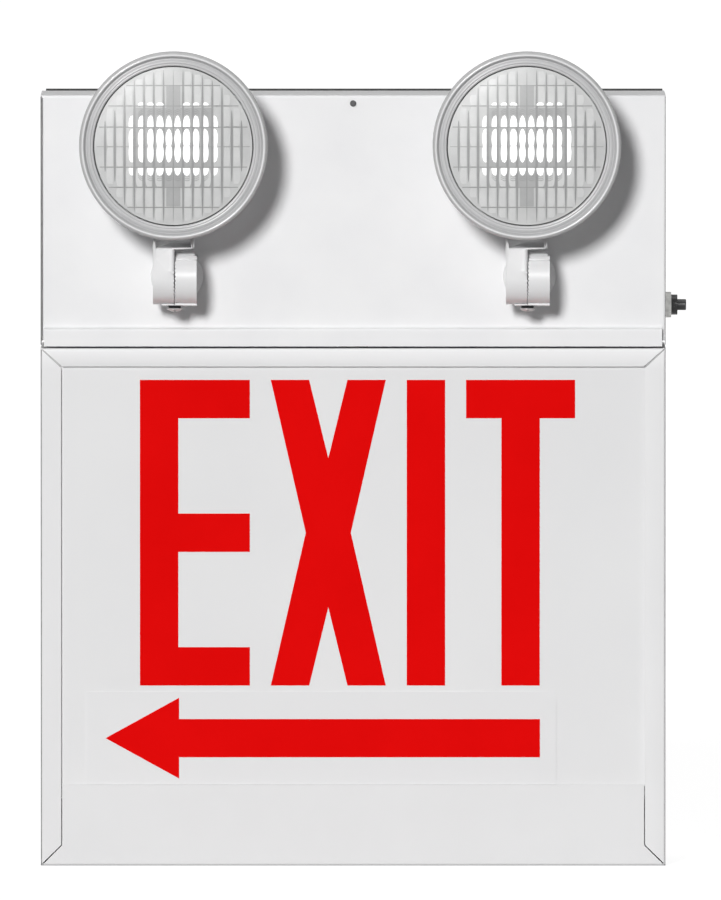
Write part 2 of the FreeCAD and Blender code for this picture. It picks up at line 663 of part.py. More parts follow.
def makeCover():
    # The battery box cover: a face with side and top walls, and a pull lip along its foot.
    cover = Piece("upper_cover")
    half = "caseWidth/2"
    skirt = "signHeight+skirtLift"
    cover.grow("front", "0", "coverOut", rectangle("-" + half, half, skirt, "caseHeight"))
    cover.cut("front", "-overcut", "coverOut-sheetGauge", rectangle(
        "-wallIn", "wallIn", skirt + "-overcut", "caseHeight-sheetGauge"))
    cover.cut("front", "coverOut-sheetGauge-overcut", "coverOut+overcut", rectangle(
        "-lipHalf", "lipHalf", skirt + "-overcut", "lipTop-sheetGauge"))
    cover.grow("front", "coverOut-sheetGauge", "caseDepth", rectangle("-lipHalf", "lipHalf", "signHeight+seamGap", "lipTop"))
    cover.cut("front", "coverOut-sheetGauge-overcut", "caseDepth-sheetGauge", rectangle(
        "-lipHalf", "lipHalf", "signHeight+seamGap-overcut", "lipTop-sheetGauge"))
    cover.round("lipBend", dict(out="coverOut", up="lipTop"))
    cover.round("bendRadius", dict(out="caseDepth", up="lipTop"), dict(out="coverOut", up="caseHeight"),
                dict(out="coverOut", across=half), dict(out="coverOut", across="-" + half))
    cover.cut("front", "coverOut-sheetGauge-overcut", "coverOut+overcut",
              circle("0", "coverScrewLevel", "coverScrewRadius+screwGap"),
              circle("-headSpread/2", "headLevel", "nippleRadius+swivelGap"),
              circle("headSpread/2", "headLevel", "nippleRadius+swivelGap"))
    cover.cut("side", "wallIn-overcut", "caseWidth/2+overcut", circle("switchOut", "switchLevel", "bushRadius+bushGap"))


def makeCoverBracket():
    # A folded strip from the back pan to the cover face, where the cover screw bites.
    bracket = Piece("cover_bracket")
    arm, ear = "bracketLevel", "bracketLevel+bracketEar"
    profile = [("sheetGauge", arm + "-bracketFoot"), ("2*sheetGauge", arm + "-bracketFoot"),
               ("2*sheetGauge", arm + "-sheetGauge"), ("coverOut-sheetGauge", arm + "-sheetGauge"),
               ("coverOut-sheetGauge", ear), ("coverOut-2*sheetGauge", ear),
               ("coverOut-2*sheetGauge", arm), ("sheetGauge", arm)]
    bracket.grow("side", "-bracketWidth/2", "bracketWidth/2", profile)
    bracket.cut("front", "coverOut-2*sheetGauge-overcut", "coverOut-sheetGauge+overcut",
                circle("0", "coverScrewLevel", "coverScrewRadius+screwGap"))


def makeCaseFasteners():
    head = rod("out", "coverScrewHead", "0", "coverOut", "coverScrewLevel", "coverScrewProud")
    thread = rod("out", "coverScrewRadius", "0", "coverOut-4*sheetGauge", "coverScrewLevel", "4*sheetGauge")
    keep(join(head, thread), "cover_screw")
    rivets = []
    for side, start in (("right", "panHalf-sheetGauge"), ("left", "-caseWidth/2")):
        for step in range(int(size("rivetCount"))):
            rivets.append(rod("across", "rivetRadius", start, "rivetOut", f"rivetFoot+{step}*rivetPitch",
                              "caseWidth/2-panHalf+sheetGauge"))
    group("housing_rivets", rivets)


# ---- sign panel and its lighting ----------------------------------------------------------


def makeSignPanel():
    panel = Piece("sign_panel")
    panel.grow("front", "panelBack", "panelFront", rectangle(
        "-windowHalf-panelLap", "windowHalf+panelLap", "sillHeight-panelLap", "windowTop+panelLap"))
    gasket = Piece("panel_gasket")
    gasket.grow("front", "panelFront", "panelFront+gasketGauge", *[rectangle(
        f"-windowHalf-{reach}", f"windowHalf+{reach}", f"sillHeight-({reach})", f"windowTop+{reach}")
        for reach in ("gasketShow", "gasketWidth")])
    arrow = Piece("arrow_plate", across="-arrowPlateShift")
    arrow.grow("front", "panelFront", "panelFront+arrowPlateGauge", rectangle(
        "-arrowPlateWidth/2", "arrowPlateWidth/2", "sillHeight", "sillHeight+arrowPlateHeight"))
    angles = []
    for side in ("left", "right"):
        edge = ("wallIn-sheetGauge", "wallIn") if side == "right" else ("-wallIn", "-wallIn+sheetGauge")
        leg = ("wallIn-retainerLeg", "wallIn") if side == "right" else ("-wallIn", "-wallIn+retainerLeg")
        up = ("retainerFoot", "windowTop")
        angles.append(join(box(edge, ("panelBack-retainerDepth", "panelBack"), up),
                           box(leg, ("panelBack-sheetGauge", "panelBack"), up)))
    group("panel_retainers", angles)


def makeLighting():
    # A white lining makes a false back, and two strips of LEDs shine across the box behind the panel.
    lining = Piece("white_lining")
    edge, foot, top = "wallIn-liningMargin", "liningMargin", "signHeight-liningMargin"
    lining.grow("front", "sheetGauge", "liningOut", rectangle("-(" + edge + ")", edge, foot, top))
    lining.cut("front", "sheetGauge-overcut", "liningOut-liningGauge", rectangle(
        f"-({edge})+liningGauge", f"{edge}-liningGauge", f"{foot}+liningGauge", f"{top}-liningGauge"))
    across, out = middle("0", "ledBoardLength"), middle("ledBoardOut", "ledBoardWidth")
    chipOut = middle("ledBoardOut", "ledChipDepth")
    for name, wall, face, tip in (
            ("top", "signHeight-sheetGauge", "signHeight-sheetGauge-ledBoardGauge",
             "signHeight-sheetGauge-ledBoardGauge-ledChipHeight"),
            ("bottom", "sheetGauge", "sheetGauge+ledBoardGauge", "sheetGauge+ledBoardGauge+ledChipHeight")):
        up = (face, wall) if name == "top" else (wall, face)
        chipUp = (tip, face) if name == "top" else (face, tip)
        keep(box(across, out, up), f"led_board_{name}")
        group(f"leds_{name}", [box(middle(f"({step}+0.5-ledCount/2)*ledChipPitch", "ledChipWidth"), chipOut, chipUp)
                               for step in range(int(size("ledCount")))])
    grommet = Piece("wire_grommet", out="passOut", up="signHeight-sheetGauge/2")
    bore, rim, lip, half = "passRadius-grommetWall", "passRadius+grommetLip", "sheetGauge/2+grommetWall", "sheetGauge/2"
    grommet.turn([(bore, "-(" + lip + ")"), (rim, "-(" + lip + ")"), (rim, "-" + half), ("passRadius", "-" + half),
                  ("passRadius", half), (rim, half), (rim, lip), (bore, lip)], view="front", axis="V_Axis")


# ---- battery, transformer and charger -----------------------------------------------------


def makeBattery():
    battery = Piece("battery", across="batteryX", out="sheetGauge", up="signHeight")
    half = "batteryWidth/2"
    battery.grow("front", "0", "batteryDepth", rectangle("-" + half, half, "0", "batteryHeight-batteryLid"))
    battery.round("batteryEdge", *[dict(across=x, out=y) for x in ("-" + half, half) for y in ("0", "batteryDepth")])
    battery.grow("front", "batteryLidInset", "batteryDepth-batteryLidInset", rectangle(
        f"-{half}+batteryLidInset", f"{half}-batteryLidInset", "batteryHeight-batteryLid", "batteryHeight"))
    tabOut = middle("sheetGauge+batteryDepth/2", "tabWidth")
    group("battery_terminals", [
        box(middle(f"batteryX+{side}*(batteryWidth/2-tabInset)", "tabGauge"), tabOut,
            ("signHeight+batteryHeight", "signHeight+batteryHeight+tabHeight")) for side in ("-1", "1")])
    strap = Piece("battery_strap", across="batteryX", up="strapLevel")
    inner, outer = "batteryWidth/2+strapGap", "batteryWidth/2+strapGap+sheetGauge"
    face = "sheetGauge+batteryDepth+strapGap"
    band = [(f"-({outer})-strapFoot", "sheetGauge"), (f"-({inner})", "sheetGauge"), (f"-({inner})", face),
            (inner, face), (inner, "sheetGauge"), (f"{outer}+strapFoot", "sheetGauge"),
            (f"{outer}+strapFoot", "2*sheetGauge"), (outer, "2*sheetGauge"), (outer, face + "+sheetGauge"),
            (f"-({outer})", face + "+sheetGauge"), (f"-({outer})", "2*sheetGauge"),
            (f"-({outer})-strapFoot", "2*sheetGauge")]
    strap.grow("plan", "-strapWidth/2", "strapWidth/2", band)


def makeTransformer():
    # A laminated core with two windows, a coil round its middle leg, and a clamp down to the pan.
    stack = "sheetGauge+coilGap+coilWall"
    core = Piece("transformer_core", across="coreX", out=stack, up="coreLevel")
    half, tall = "coreWidth/2", "coreHeight/2"
    core.grow("front", "0", "coreStack", rectangle("-" + half, half, "-" + tall, tall))
    window = rectangle("coreLeg", "2*coreLeg", f"-{tall}+coreLeg", f"{tall}-coreLeg")
    core.cut("front", "-overcut", "coreStack+overcut", window, mirrored(window))
    coil = Piece("transformer_coil", across="coreX", out=stack, up="coreLevel")
    reach = "2*coreLeg-coilGap"
    coil.grow("plan", "-coreHeight/2+coreLeg+coilGap", "coreHeight/2-coreLeg-coilGap", *[
        rectangle("-(" + x + ")", x, "-(" + gap + ")", "coreStack+" + gap)
        for x, gap in ((reach, "coilWall"), ("coreLeg+coilGap", "coilGap"))])
    yoke = Piece("transformer_clamp", across="coreX", out="sheetGauge", up="coreLevel")
    inner, outer = "coreWidth/2", "coreWidth/2+sheetGauge"
    low, high = "coilGap+coilWall+coreStack", "coilGap+coilWall+coreStack+sheetGauge"
    for x in ("-1", "1"):
        yoke.grow("plan", "coreHeight/2-coreLeg+coilGap", "coreHeight/2", [
            ("0", low), (f"{x}*({inner})", low), (f"{x}*({inner})", "0"), (f"{x}*({outer}+yokeFoot)", "0"),
            (f"{x}*({outer}+yokeFoot)", "sheetGauge"), (f"{x}*({outer})", "sheetGauge"),
            (f"{x}*({outer})", high), ("0", high)])


def makeCharger():
    across, up = middle("boardX", "boardWidth"), middle("boardLevel", "boardHeight")
    corners = [(x, z) for x in ("-1", "1") for z in ("-1", "1")]
    keep(box(across, ("boardBack", "boardFront"), up), "charger_board")
    group("board_standoffs", [
        rod("out", "standoffRadius", f"boardX+{x}*(boardWidth/2-standoffInset)", "sheetGauge",
            f"boardLevel+{z}*(boardHeight/2-standoffInset)", "standoffHeight") for x, z in corners])
    keep(box(middle("relayX", "relayWidth"), ("boardFront", "boardFront+relayDepth"),
             middle("upperRow", "relayHeight")), "transfer_relay")
    group("capacitors", [rod("out", "capRadius", "boardX", "boardFront", "upperRow", "capHeight"),
                         rod("out", "smallCapRadius", "smallCapX", "boardFront", "upperRow", "smallCapHeight")])
    sink = Piece("heat_sink", across="relayX", out="boardFront", up="lowerRow")
    half = "sinkWidth/2"
    sink.grow("front", "0", "sinkDepth", rectangle("-" + half, half, "-sinkHeight/2", "sinkHeight/2"))
    slots = sink.cut("front", "finRoot", "sinkDepth+overcut", rectangle(
        f"-{half}+finGauge", f"-{half}+finPitch", "-sinkHeight/2-overcut", "sinkHeight/2+overcut"))
    sink.repeat("LinearPattern", slots, sink.axis("X_Axis"), int(size("finSlots")), Length="(finSlots-1)*finPitch")
    block = Piece("terminal_block", across="blockX", out="boardFront", up="blockLevel")
    half = "blockWidth/2"
    block.grow("front", "0", "blockDepth", rectangle("-" + half, half, "-blockHeight/2", "blockHeight/2"))
    wells = block.cut("front", "blockDepth-wellDepth", "blockDepth+overcut",
                      circle(f"-{half}+wellPitch/2", "0", "wellRadius"))
    block.repeat("LinearPattern", wells, block.axis("X_Axis"), int(size("wellCount")), Length="blockWidth-wellPitch")


# ---- test switch --------------------------------------------------------------------------


def makeSwitch():
    wall = "caseWidth/2"
    body = Piece("switch_body", across=wall, out="switchOut", up="switchLevel")
    half = "switchSize/2"
    body.grow("side", "-sheetGauge-switchDepth", "-sheetGauge", rectangle("-" + half, half, "-" + half, half))
    body.grow("side", "-sheetGauge", "nutHeight+collarHeight/2", circle("0", "0", "bushRadius"))
    body.cut("side", "collarHeight+nutHeight-plungerSunk-plungerTravel-overcut", "nutHeight+collarHeight",
             circle("0", "0", "plungerRadius+plungerGap"))
    nut = rod("across", "nutCorners/2", wall, "switchOut", "switchLevel", "nutHeight", flats=6)
    hole = rod("across", "bushRadius+screwGap", wall + "-overcut", "switchOut", "switchLevel", "nutHeight+2*overcut")
    keep(without(nut, hole), "switch_nut")
    collar = Piece("switch_collar", across=wall + "+nutHeight", out="switchOut", up="switchLevel")
    collar.turn([("0", "bushRadius+screwGap"), ("0", "collarRadius"), ("collarHeight", "collarRadius"),
                 ("collarHeight", "plungerRadius+plungerGap"), ("collarHeight/2", "plungerRadius+plungerGap"),
                 ("collarHeight/2", "bushRadius+screwGap")], view="front")
    button = Piece("test_button", across=wall + "+nutHeight+collarHeight", out="switchOut", up="switchLevel")
    button.grow("side", "-plungerSunk", "plungerProud", circle("0", "0", "plungerRadius"))
    button.round("plungerRadius/6", dict(across="plungerProud"))


# ---- lamp heads ---------------------------------------------------------------------------


def knucklePiece(label, side):
    # Knuckle pieces are drawn round the tilt axis.
    return Piece(label, f"{side}*headSpread/2", "coverOut+knuckleOut", "headLevel")


def lampPiece(label, side):
    # Lamp pieces are drawn round the lamp's axis, out from the cover face.
    return Piece(label, f"{side}*headSpread/2-lampShift", "coverOut", "headLevel+lampRise")


def cutTeeth(piece, face, way, turn):
    # Radial V grooves, shallower and narrower towards the axis, once round the mating face.
    # One face's grooves lie opposite the other's tips: the first groove stands turn of a pitch from the top.
    sections = []
    for radius in ("toothFoot", "knuckleRadius+overcut"):
        half = f"pi*({radius})/toothCount"
        deep = f"toothHeight*({radius})/knuckleRadius"
        sections.append(piece.sketch("plan", radius, [[
            (face, f"{turn}*2*{half}-{half}"), (f"{face}{way}{deep}", f"{turn}*2*{half}"),
            (face, f"{turn}*2*{half}+{half}"), (f"{face}-({way}overcut)", f"{turn}*2*{half}")]]))
    loft = piece.feature("SubtractiveLoft", sections[0])
    loft.Sections = [sections[1]]
    loft.Ruled = True
    doc.recompute()
    piece.repeat("PolarPattern", loft, piece.axis("X_Axis"), int(size("toothCount")))


def makeHeadBase(name, side):
    # Domed foot, stem and right knuckle half in one moulding.
    base = knucklePiece(f"{name}_head_base", side)
    foot = "-knuckleOut+swivelGap"
    base.turn([(foot, "0"), (foot, "domeRadius"), (foot + "+domeEdge", "domeRadius", arc("domeCurve", 1)),
               ("-knuckleOut+domeHeight", "0")])
    base.grow("side", "baseFace", "baseReach", [
        (foot + "+domeEdge", "-stemHalf"), ("0", "-knuckleRadius+overcut/10"), ("0", "knuckleRadius-overcut/10"),
        (foot + "+domeEdge", "stemHalf")])
    base.grow("side", "baseFace", "baseReach", circle("0", "0", "knuckleRadius"))
    saddle = [("-saddleHalf", "-sqrt(saddleIn^2-saddleHalf^2)", arc("saddleIn", -1)),
              ("saddleHalf", "-sqrt(saddleIn^2-saddleHalf^2)"),
              ("saddleHalf", "-sqrt(saddleOut^2-saddleHalf^2)", arc("saddleOut", 1)),
              ("-saddleHalf", "-sqrt(saddleOut^2-saddleHalf^2)")]
    base.grow("side", "-saddleReach", "baseReach", saddle)
    base.grow("side", "baseFace", "baseReach", rectangle(
        "-saddleHalf", "saddleHalf", "-sqrt(saddleIn^2-saddleHalf^2)-overcut/2", "-knuckleRadius/2"))
    base.cut("side", "baseFace-overcut", "baseReach+overcut", [
        ("-ledgeFront", "ledgeLevel", arc("ledgeRadius", 1)), ("ledgeFront", "ledgeLevel"),
        ("knuckleRadius+overcut", "ledgeLevel"), ("knuckleRadius+overcut", "knuckleRadius+overcut"),
        ("-ledgeFront", "knuckleRadius+overcut")])
    base.cut("side", "baseFace-overcut", "baseReach+overcut", rectangle(
        "grooveIn", "knuckleRadius", "ledgeLevel-ledgeGroove", "ledgeLevel"))
    base.cut("side", "ledgeReach", "baseReach+overcut", rectangle(
        "-knuckleRadius", "knuckleRadius", "ledgeLevel+ledgeStep", "knuckleRadius"))
    base.grow("side", "baseFace+stopInset", "baseFace+stopInset+stopWidth", rectangle(
        "-stopDepth/2", "stopDepth/2", "ledgeRadius-overcut", "stopRadius"))
    base.cut("side", "baseFace-overcut", "baseReach+overcut", circle("0", "0", "boltRadius+boltGap"))
    base.cut("side", "baseReach-pocketDepth", "baseReach+overcut", circle("0", "0", "pocketRadius"))
    base.cut("front", foot + "-overcut", "-knuckleOut+nippleSeat", circle("0", "0", "nippleRadius+boltGap"))
    base.cut("plan", "-saddleOut-overcut", "-saddleIn+overcut/2", circle("-splitShift", "0", "clampShank+screwGap"))
    cutTeeth(base, "baseFace", "+", "0.5")


def makeKnuckleHardware(name, side):
    at = f"{side}*headSpread/2"
    out = "coverOut+knuckleOut"
    head = rod("across", "boltHead", f"{at}-armReach+boltEndGap", out, "headLevel", "boltHeadHeight")
    shank = rod("across", "boltRadius", f"{at}-armReach+boltEndGap+boltHeadHeight", out, "headLevel",
                "armReach+baseReach-3*boltEndGap-boltHeadHeight")
    keep(join(head, shank), f"{name}_pivot_bolt")
    nut = rod("across", f"pivotNutFlats/2*{sixFlats}", f"{at}+baseReach-boltEndGap-pivotNutHeight", out, "headLevel",
              "pivotNutHeight", flats=6)
    thread = rod("across", "boltRadius+boltGap", f"{at}+baseReach-boltEndGap-pivotNutHeight-overcut", out,
                 "headLevel", "pivotNutHeight+2*overcut")
    keep(without(nut, thread), f"{name}_pivot_nut")
    screw = knucklePiece(f"{name}_clamp_screw", side)
    seat = "-saddleOut"
    brim, tip = "-saddleOut-clampCollarHeight", "-saddleOut-clampCollarHeight-clampHeadHeight"
    screw.turn([("0", "-knuckleRadius-overcut/10"), ("clampShank", "-knuckleRadius-overcut/10"), ("clampShank", seat),
                ("clampCollar", seat), ("clampCollar", brim), ("clampHead", brim),
                ("clampHead", brim + "-clampHeadHeight/3", arc("clampHead*1.3", 1)), ("0", tip)],
               view="front", shift=("-splitShift", "0"), axis="V_Axis")
    screw.cut("front", "-clampHead-overcut", "clampHead+overcut", rectangle(
        "-splitShift-slotWidth/2", "-splitShift+slotWidth/2", tip + "-overcut", tip + "+slotDepth"))
    inner = "coverOut-sheetGauge"
    nipple = rod("out", "nippleRadius", at, "coverOut-nippleTail", "headLevel", "nippleTail+nippleSeat-boltGap")
    wireWay = rod("out", "nippleBore", at, "coverOut-nippleTail-overcut", "headLevel", "nippleTail+nippleSeat+2*overcut")
    keep(without(nipple, wireWay), f"{name}_nipple")
    rings = (("washer", rod("out", "washerRadius", at, inner + "-swivelGap-washerGauge", "headLevel", "washerGauge")),
             ("locknut", rod("out", f"locknutFlats/2*{sixFlats}", at, inner + "-swivelGap-washerGauge-locknutHeight",
                             "headLevel", "locknutHeight", flats=6)))
    for part, ring in rings:
        bore = rod("out", "nippleRadius+boltGap", at, inner + "-washerGauge-locknutHeight-2*overcut", "headLevel",
                   "washerGauge+locknutHeight+4*overcut")
        keep(without(ring, bore), f"{name}_{part}")


def makeShell(name, side):
    # Bowl, neck and left knuckle half in one moulding.
    shell = knucklePiece(f"{name}_lamp_shell", side)
    atLamp = dict(start="-lampShift", shift=("-knuckleOut", "lampRise"))
    shell.turn([("shellBackOut", "0"), ("shellBackOut", "shellBack", arc("shellCurve", 1)),
                ("shellShoulderOut", "shellRadius"), ("shellRimOut", "shellRadius"), ("shellRimOut", "0")], **atLamp)
    shell.grow("side", "-armReach", "neckRight", rectangle("-neckBack", "knuckleRadius", "neckFoot", "neckTop"))
    shell.grow("side", "-armReach", "armFace", rectangle("-neckBack", "knuckleRadius", "0", "neckFoot"))
    shell.grow("side", "-armReach", "armFace", circle("0", "0", "knuckleRadius"))
    shell.turn([("shellBackOut+shellWall", "0"), ("shellBackOut+shellWall", "shellBack-shellWall", arc("shellCurve-shellWall", 1)),
                ("shellShoulderOut", "lampRadius-lampLedge"), ("lampSeatOut", "lampRadius-lampLedge"),
                ("lampSeatOut", "shellBore"), ("shellRimOut+overcut", "shellBore"), ("shellRimOut+overcut", "0")],
               kind="Groove", **atLamp)
    rib, edge = "-armReach+neckRib", "armFace-armRound-panelSink"
    shell.cut("front", "knuckleRadius-neckHollow", "knuckleRadius+overcut", rectangle(
        rib, "neckRight-neckRib", "neckFoot+neckFloor", "neckHollowTop"))
    shell.cut("front", "knuckleRadius-panelSink", "knuckleRadius+overcut", [
        (rib, "panelCorner"), (rib + "+panelTurn", "panelLow"), (edge, "panelLow"), (edge, "neckFoot"),
        (rib, "neckFoot")])
    shell.cut("plan", "armRoundFoot", "neckFoot", [
        ("armFace-armRound", "knuckleRadius", arc("armRound", 1)), ("armFace", "knuckleRadius-armRound"),
        ("armFace+overcut", "knuckleRadius-armRound"), ("armFace+overcut", "knuckleRadius+overcut"),
        ("armFace-armRound", "knuckleRadius+overcut")])
    shell.cut("side", "-armReach-overcut", "armFace+overcut", circle("0", "0", "boltRadius+boltGap"))
    shell.cut("side", "-armReach-overcut", "-armReach+pocketDepth", circle("0", "0", "pocketRadius"))
    cutTeeth(shell, "armFace", "-", "0")


def makeBezel(name, side):
    bezel = lampPiece(f"{name}_lamp_ring", side)
    skirt = "bezelRadius-bezelWall"
    bezel.turn([("skirtOut", skirt), ("skirtOut", "bezelRadius"),
                ("bezelCrestOut-bezelRound", "bezelRadius", arc("bezelRound", 1)), ("bezelCrestOut", "bezelCrest"),
                ("grooveOut", "grooveRadius"), ("landOut", "landRadius"), ("mouthOut", "bezelMouth"),
                ("bezelSeatOut", "bezelMouth"), ("bezelSeatOut", skirt)])
    gasket = lampPiece(f"{name}_lamp_gasket", side)
    gasket.turn([("lampRimOut", "bezelMouth+bezelGap"), ("lampRimOut", "lampRadius"), ("bezelSeatOut", "lampRadius"),
                 ("bezelSeatOut", "bezelMouth+bezelGap")])


def makeLamp(name, side):
    # Sealed lamp: a domed lens, fluted on its back, on a silvered bowl with a small capsule.
    lens = lampPiece(f"{name}_lamp_lens", side)
    lens.turn([("lensBackOut", "0"), ("lensBackOut", "lensRadius"), ("lensEdgeOut", "lensRadius", arc("lensCurve", 1)),
               ("lensCrownOut", "0")])
    first = "-(fluteCount-1)/2*flutePitch"
    flute = lens.cut("plan", "-lampRadius", "lampRadius", circle(first, "lensBackOut+fluteDepth-fluteRadius", "fluteRadius"))
    lens.repeat("LinearPattern", flute, lens.axis("X_Axis"), int(size("fluteCount")), Length="(fluteCount-1)*flutePitch")
    low = "-(barCount-1)/2*barPitch"
    groove = lens.cut("side", "-lampRadius", "lampRadius", [
        ("lensBackOut-overcut", low + "-barWidth/2"), ("lensBackOut+barDepth", low), ("lensBackOut-overcut", low + "+barWidth/2")])
    lens.repeat("LinearPattern", groove, lens.axis("Z_Axis"), int(size("barCount")), Length="(barCount-1)*barPitch")
    back = "lampRimOut-lampRimDepth"
    lens.turn([(back, "bowlMouth+slipGap"), (back, "lampRadius"), ("lampRimOut", "lampRadius"), ("lampRimOut", "lensRadius-overcut"),
               ("lensBackOut+fluteDepth+barDepth/4", "bowlMouth+slipGap")])
    bowl = lampPiece(f"{name}_reflector", side)
    bowl.turn([("lampSeatOut", "lampRadius"), (back, "lampRadius"), (back, "bowlMouth", arc("bowlCurve", -1)),
               ("bowlBackOut", "bowlBack"), ("bowlBackOut", "0"), ("bowlBossOut", "0"), ("bowlBossOut", "bowlBoss"),
               ("bowlBackOut", "bowlBoss", arc("bowlCurve", 1)), ("lampSeatOut", "bowlMouth+bowlWall")])
    capsule = lampPiece(f"{name}_lamp_capsule", side)
    capsule.turn([("bowlBackOut", "0"), ("bowlBackOut", "capsuleRadius"),
                  ("bowlBackOut+capsuleLength-capsuleRadius", "capsuleRadius", arc("capsuleRadius", 1)),
                  ("bowlBackOut+capsuleLength", "0")])
    group(f"{name}_lamp_terminals", [
        rod("out", "terminalRadius", f"{side}*headSpread/2-lampShift+{end}*terminalSpan/2", "coverOut+bowlBossOut-terminalHeight",
            "headLevel+lampRise", "terminalHeight") for end in ("-1", "1")])


makeBackPan()
makeSignBox()
makeCover()
makeCoverBracket()
makeCaseFasteners()
makeSignPanel()
makeLighting()
makeBattery()
makeTransformer()
makeCharger()
makeSwitch()
for name, side in (("left", "-1"), ("right", "1")):
    makeHeadBase(name, side)
    makeKnuckleHardware(name, side)
    makeShell(name, side)
    makeBezel(name, side)
    makeLamp(name, side)
doc.recompute()

failed = [thing.Label for thing in doc.Objects if "Invalid" in thing.State or "Error" in thing.State]
failed += [part.Label for part in subParts if part.Shape.isNull() or not part.Shape.isValid()]
if failed:
    raise RuntimeError("not built: " + ", ".join(failed))

os.makedirs("parts", exist_ok=True)
for part in subParts:
    part.Shape.exportStep(f"parts/{part.Label}.step")
print(len(subParts), "sub-parts written")
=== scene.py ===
import bpy, bmesh, json, math
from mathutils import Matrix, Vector

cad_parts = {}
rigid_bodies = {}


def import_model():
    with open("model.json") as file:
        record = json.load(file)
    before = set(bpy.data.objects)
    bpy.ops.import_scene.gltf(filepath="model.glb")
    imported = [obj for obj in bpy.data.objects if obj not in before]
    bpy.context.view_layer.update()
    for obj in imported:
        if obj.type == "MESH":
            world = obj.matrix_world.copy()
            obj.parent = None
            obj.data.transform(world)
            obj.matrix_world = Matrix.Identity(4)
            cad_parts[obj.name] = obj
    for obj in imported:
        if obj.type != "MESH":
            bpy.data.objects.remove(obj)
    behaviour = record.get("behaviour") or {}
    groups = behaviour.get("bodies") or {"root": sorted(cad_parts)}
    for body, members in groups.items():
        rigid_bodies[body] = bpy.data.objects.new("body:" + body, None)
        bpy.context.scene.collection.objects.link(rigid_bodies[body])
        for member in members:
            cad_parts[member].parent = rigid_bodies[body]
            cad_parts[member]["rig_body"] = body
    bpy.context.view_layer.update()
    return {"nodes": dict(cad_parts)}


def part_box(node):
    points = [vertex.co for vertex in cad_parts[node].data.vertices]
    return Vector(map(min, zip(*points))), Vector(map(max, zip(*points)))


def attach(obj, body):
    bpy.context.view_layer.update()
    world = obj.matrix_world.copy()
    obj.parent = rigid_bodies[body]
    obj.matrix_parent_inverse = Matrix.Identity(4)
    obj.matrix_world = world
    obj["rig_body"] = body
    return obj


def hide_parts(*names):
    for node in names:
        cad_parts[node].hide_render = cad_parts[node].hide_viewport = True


# Emergency exit light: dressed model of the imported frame. Metres, the wall at Y = 0, the room at -Y.

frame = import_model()
nodes = frame["nodes"]
bpy.ops.object.select_all(action="DESELECT")
print("frame loaded:", len(nodes), "nodes")


def middle(node):
    low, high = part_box(node)
    return (low + high) / 2


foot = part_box("sign_housing")[0].z
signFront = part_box("sign_housing")[0].y

# ---- camera, light and floor

camera = {
    "distance": 20.0,
    "height": 0.5976,  # what the picture takes in, at the sign's front
    "azimuth": 0.0,
    "elevation": 2.5,
    "across": 0.0049,
    "up": 0.2764,  # above the foot
    "sensor": 36.0,
    "nearest": 0.05,
    "farthest": 200.0,
}


def placeCamera():
    turn, lift = math.radians(camera["azimuth"]), math.radians(camera["elevation"])
    back = Vector((math.sin(turn) * math.cos(lift), -math.cos(turn) * math.cos(lift), math.sin(lift)))
    target = Vector((camera["across"], signFront, foot + camera["up"]))
    bpy.ops.object.camera_add(location=target + back * camera["distance"])
    eye = bpy.context.object
    eye.name = "longCamera"
    eye.rotation_mode = "QUATERNION"
    eye.rotation_quaternion = (-back).to_track_quat("-Z", "Y")
    eye.data.sensor_fit = "AUTO"
    eye.data.sensor_width = camera["sensor"]
    eye.data.lens = camera["sensor"] * camera["distance"] / camera["height"]
    eye.data.clip_start, eye.data.clip_end = camera["nearest"], camera["farthest"]
    bpy.context.scene.camera = eye


light = {
    "key": {"aim": (0.21, 1.0, -0.275), "strength": 2.6, "spread": 10.0},
    "top": {"aim": (0.0, 0.0, -1.0), "strength": 0.6, "spread": 40.0},
    "leftFill": {"aim": (1.0, 0.0, -0.1), "strength": 0.35, "spread": 50.0},
    "rightFill": {"aim": (-1.0, 0.0, -0.1), "strength": 0.35, "spread": 50.0},
    "backFill": {"aim": (0.15, -1.0, 0.0), "strength": 1.9, "spread": 40.0},
    "room": 0.04,
    "white": 1.0,
    # what shiny paint sees: a white tent in front, a greyer wall behind, dark flags at both sides
    "tentFront": 0.85,
    "tentBack": 0.58,
    "flag": 0.12,
    "turn": 0.3,  # how far along Y the tent goes over from front to back
    "flagStart": 0.55,
    "flagFull": 0.90,
}


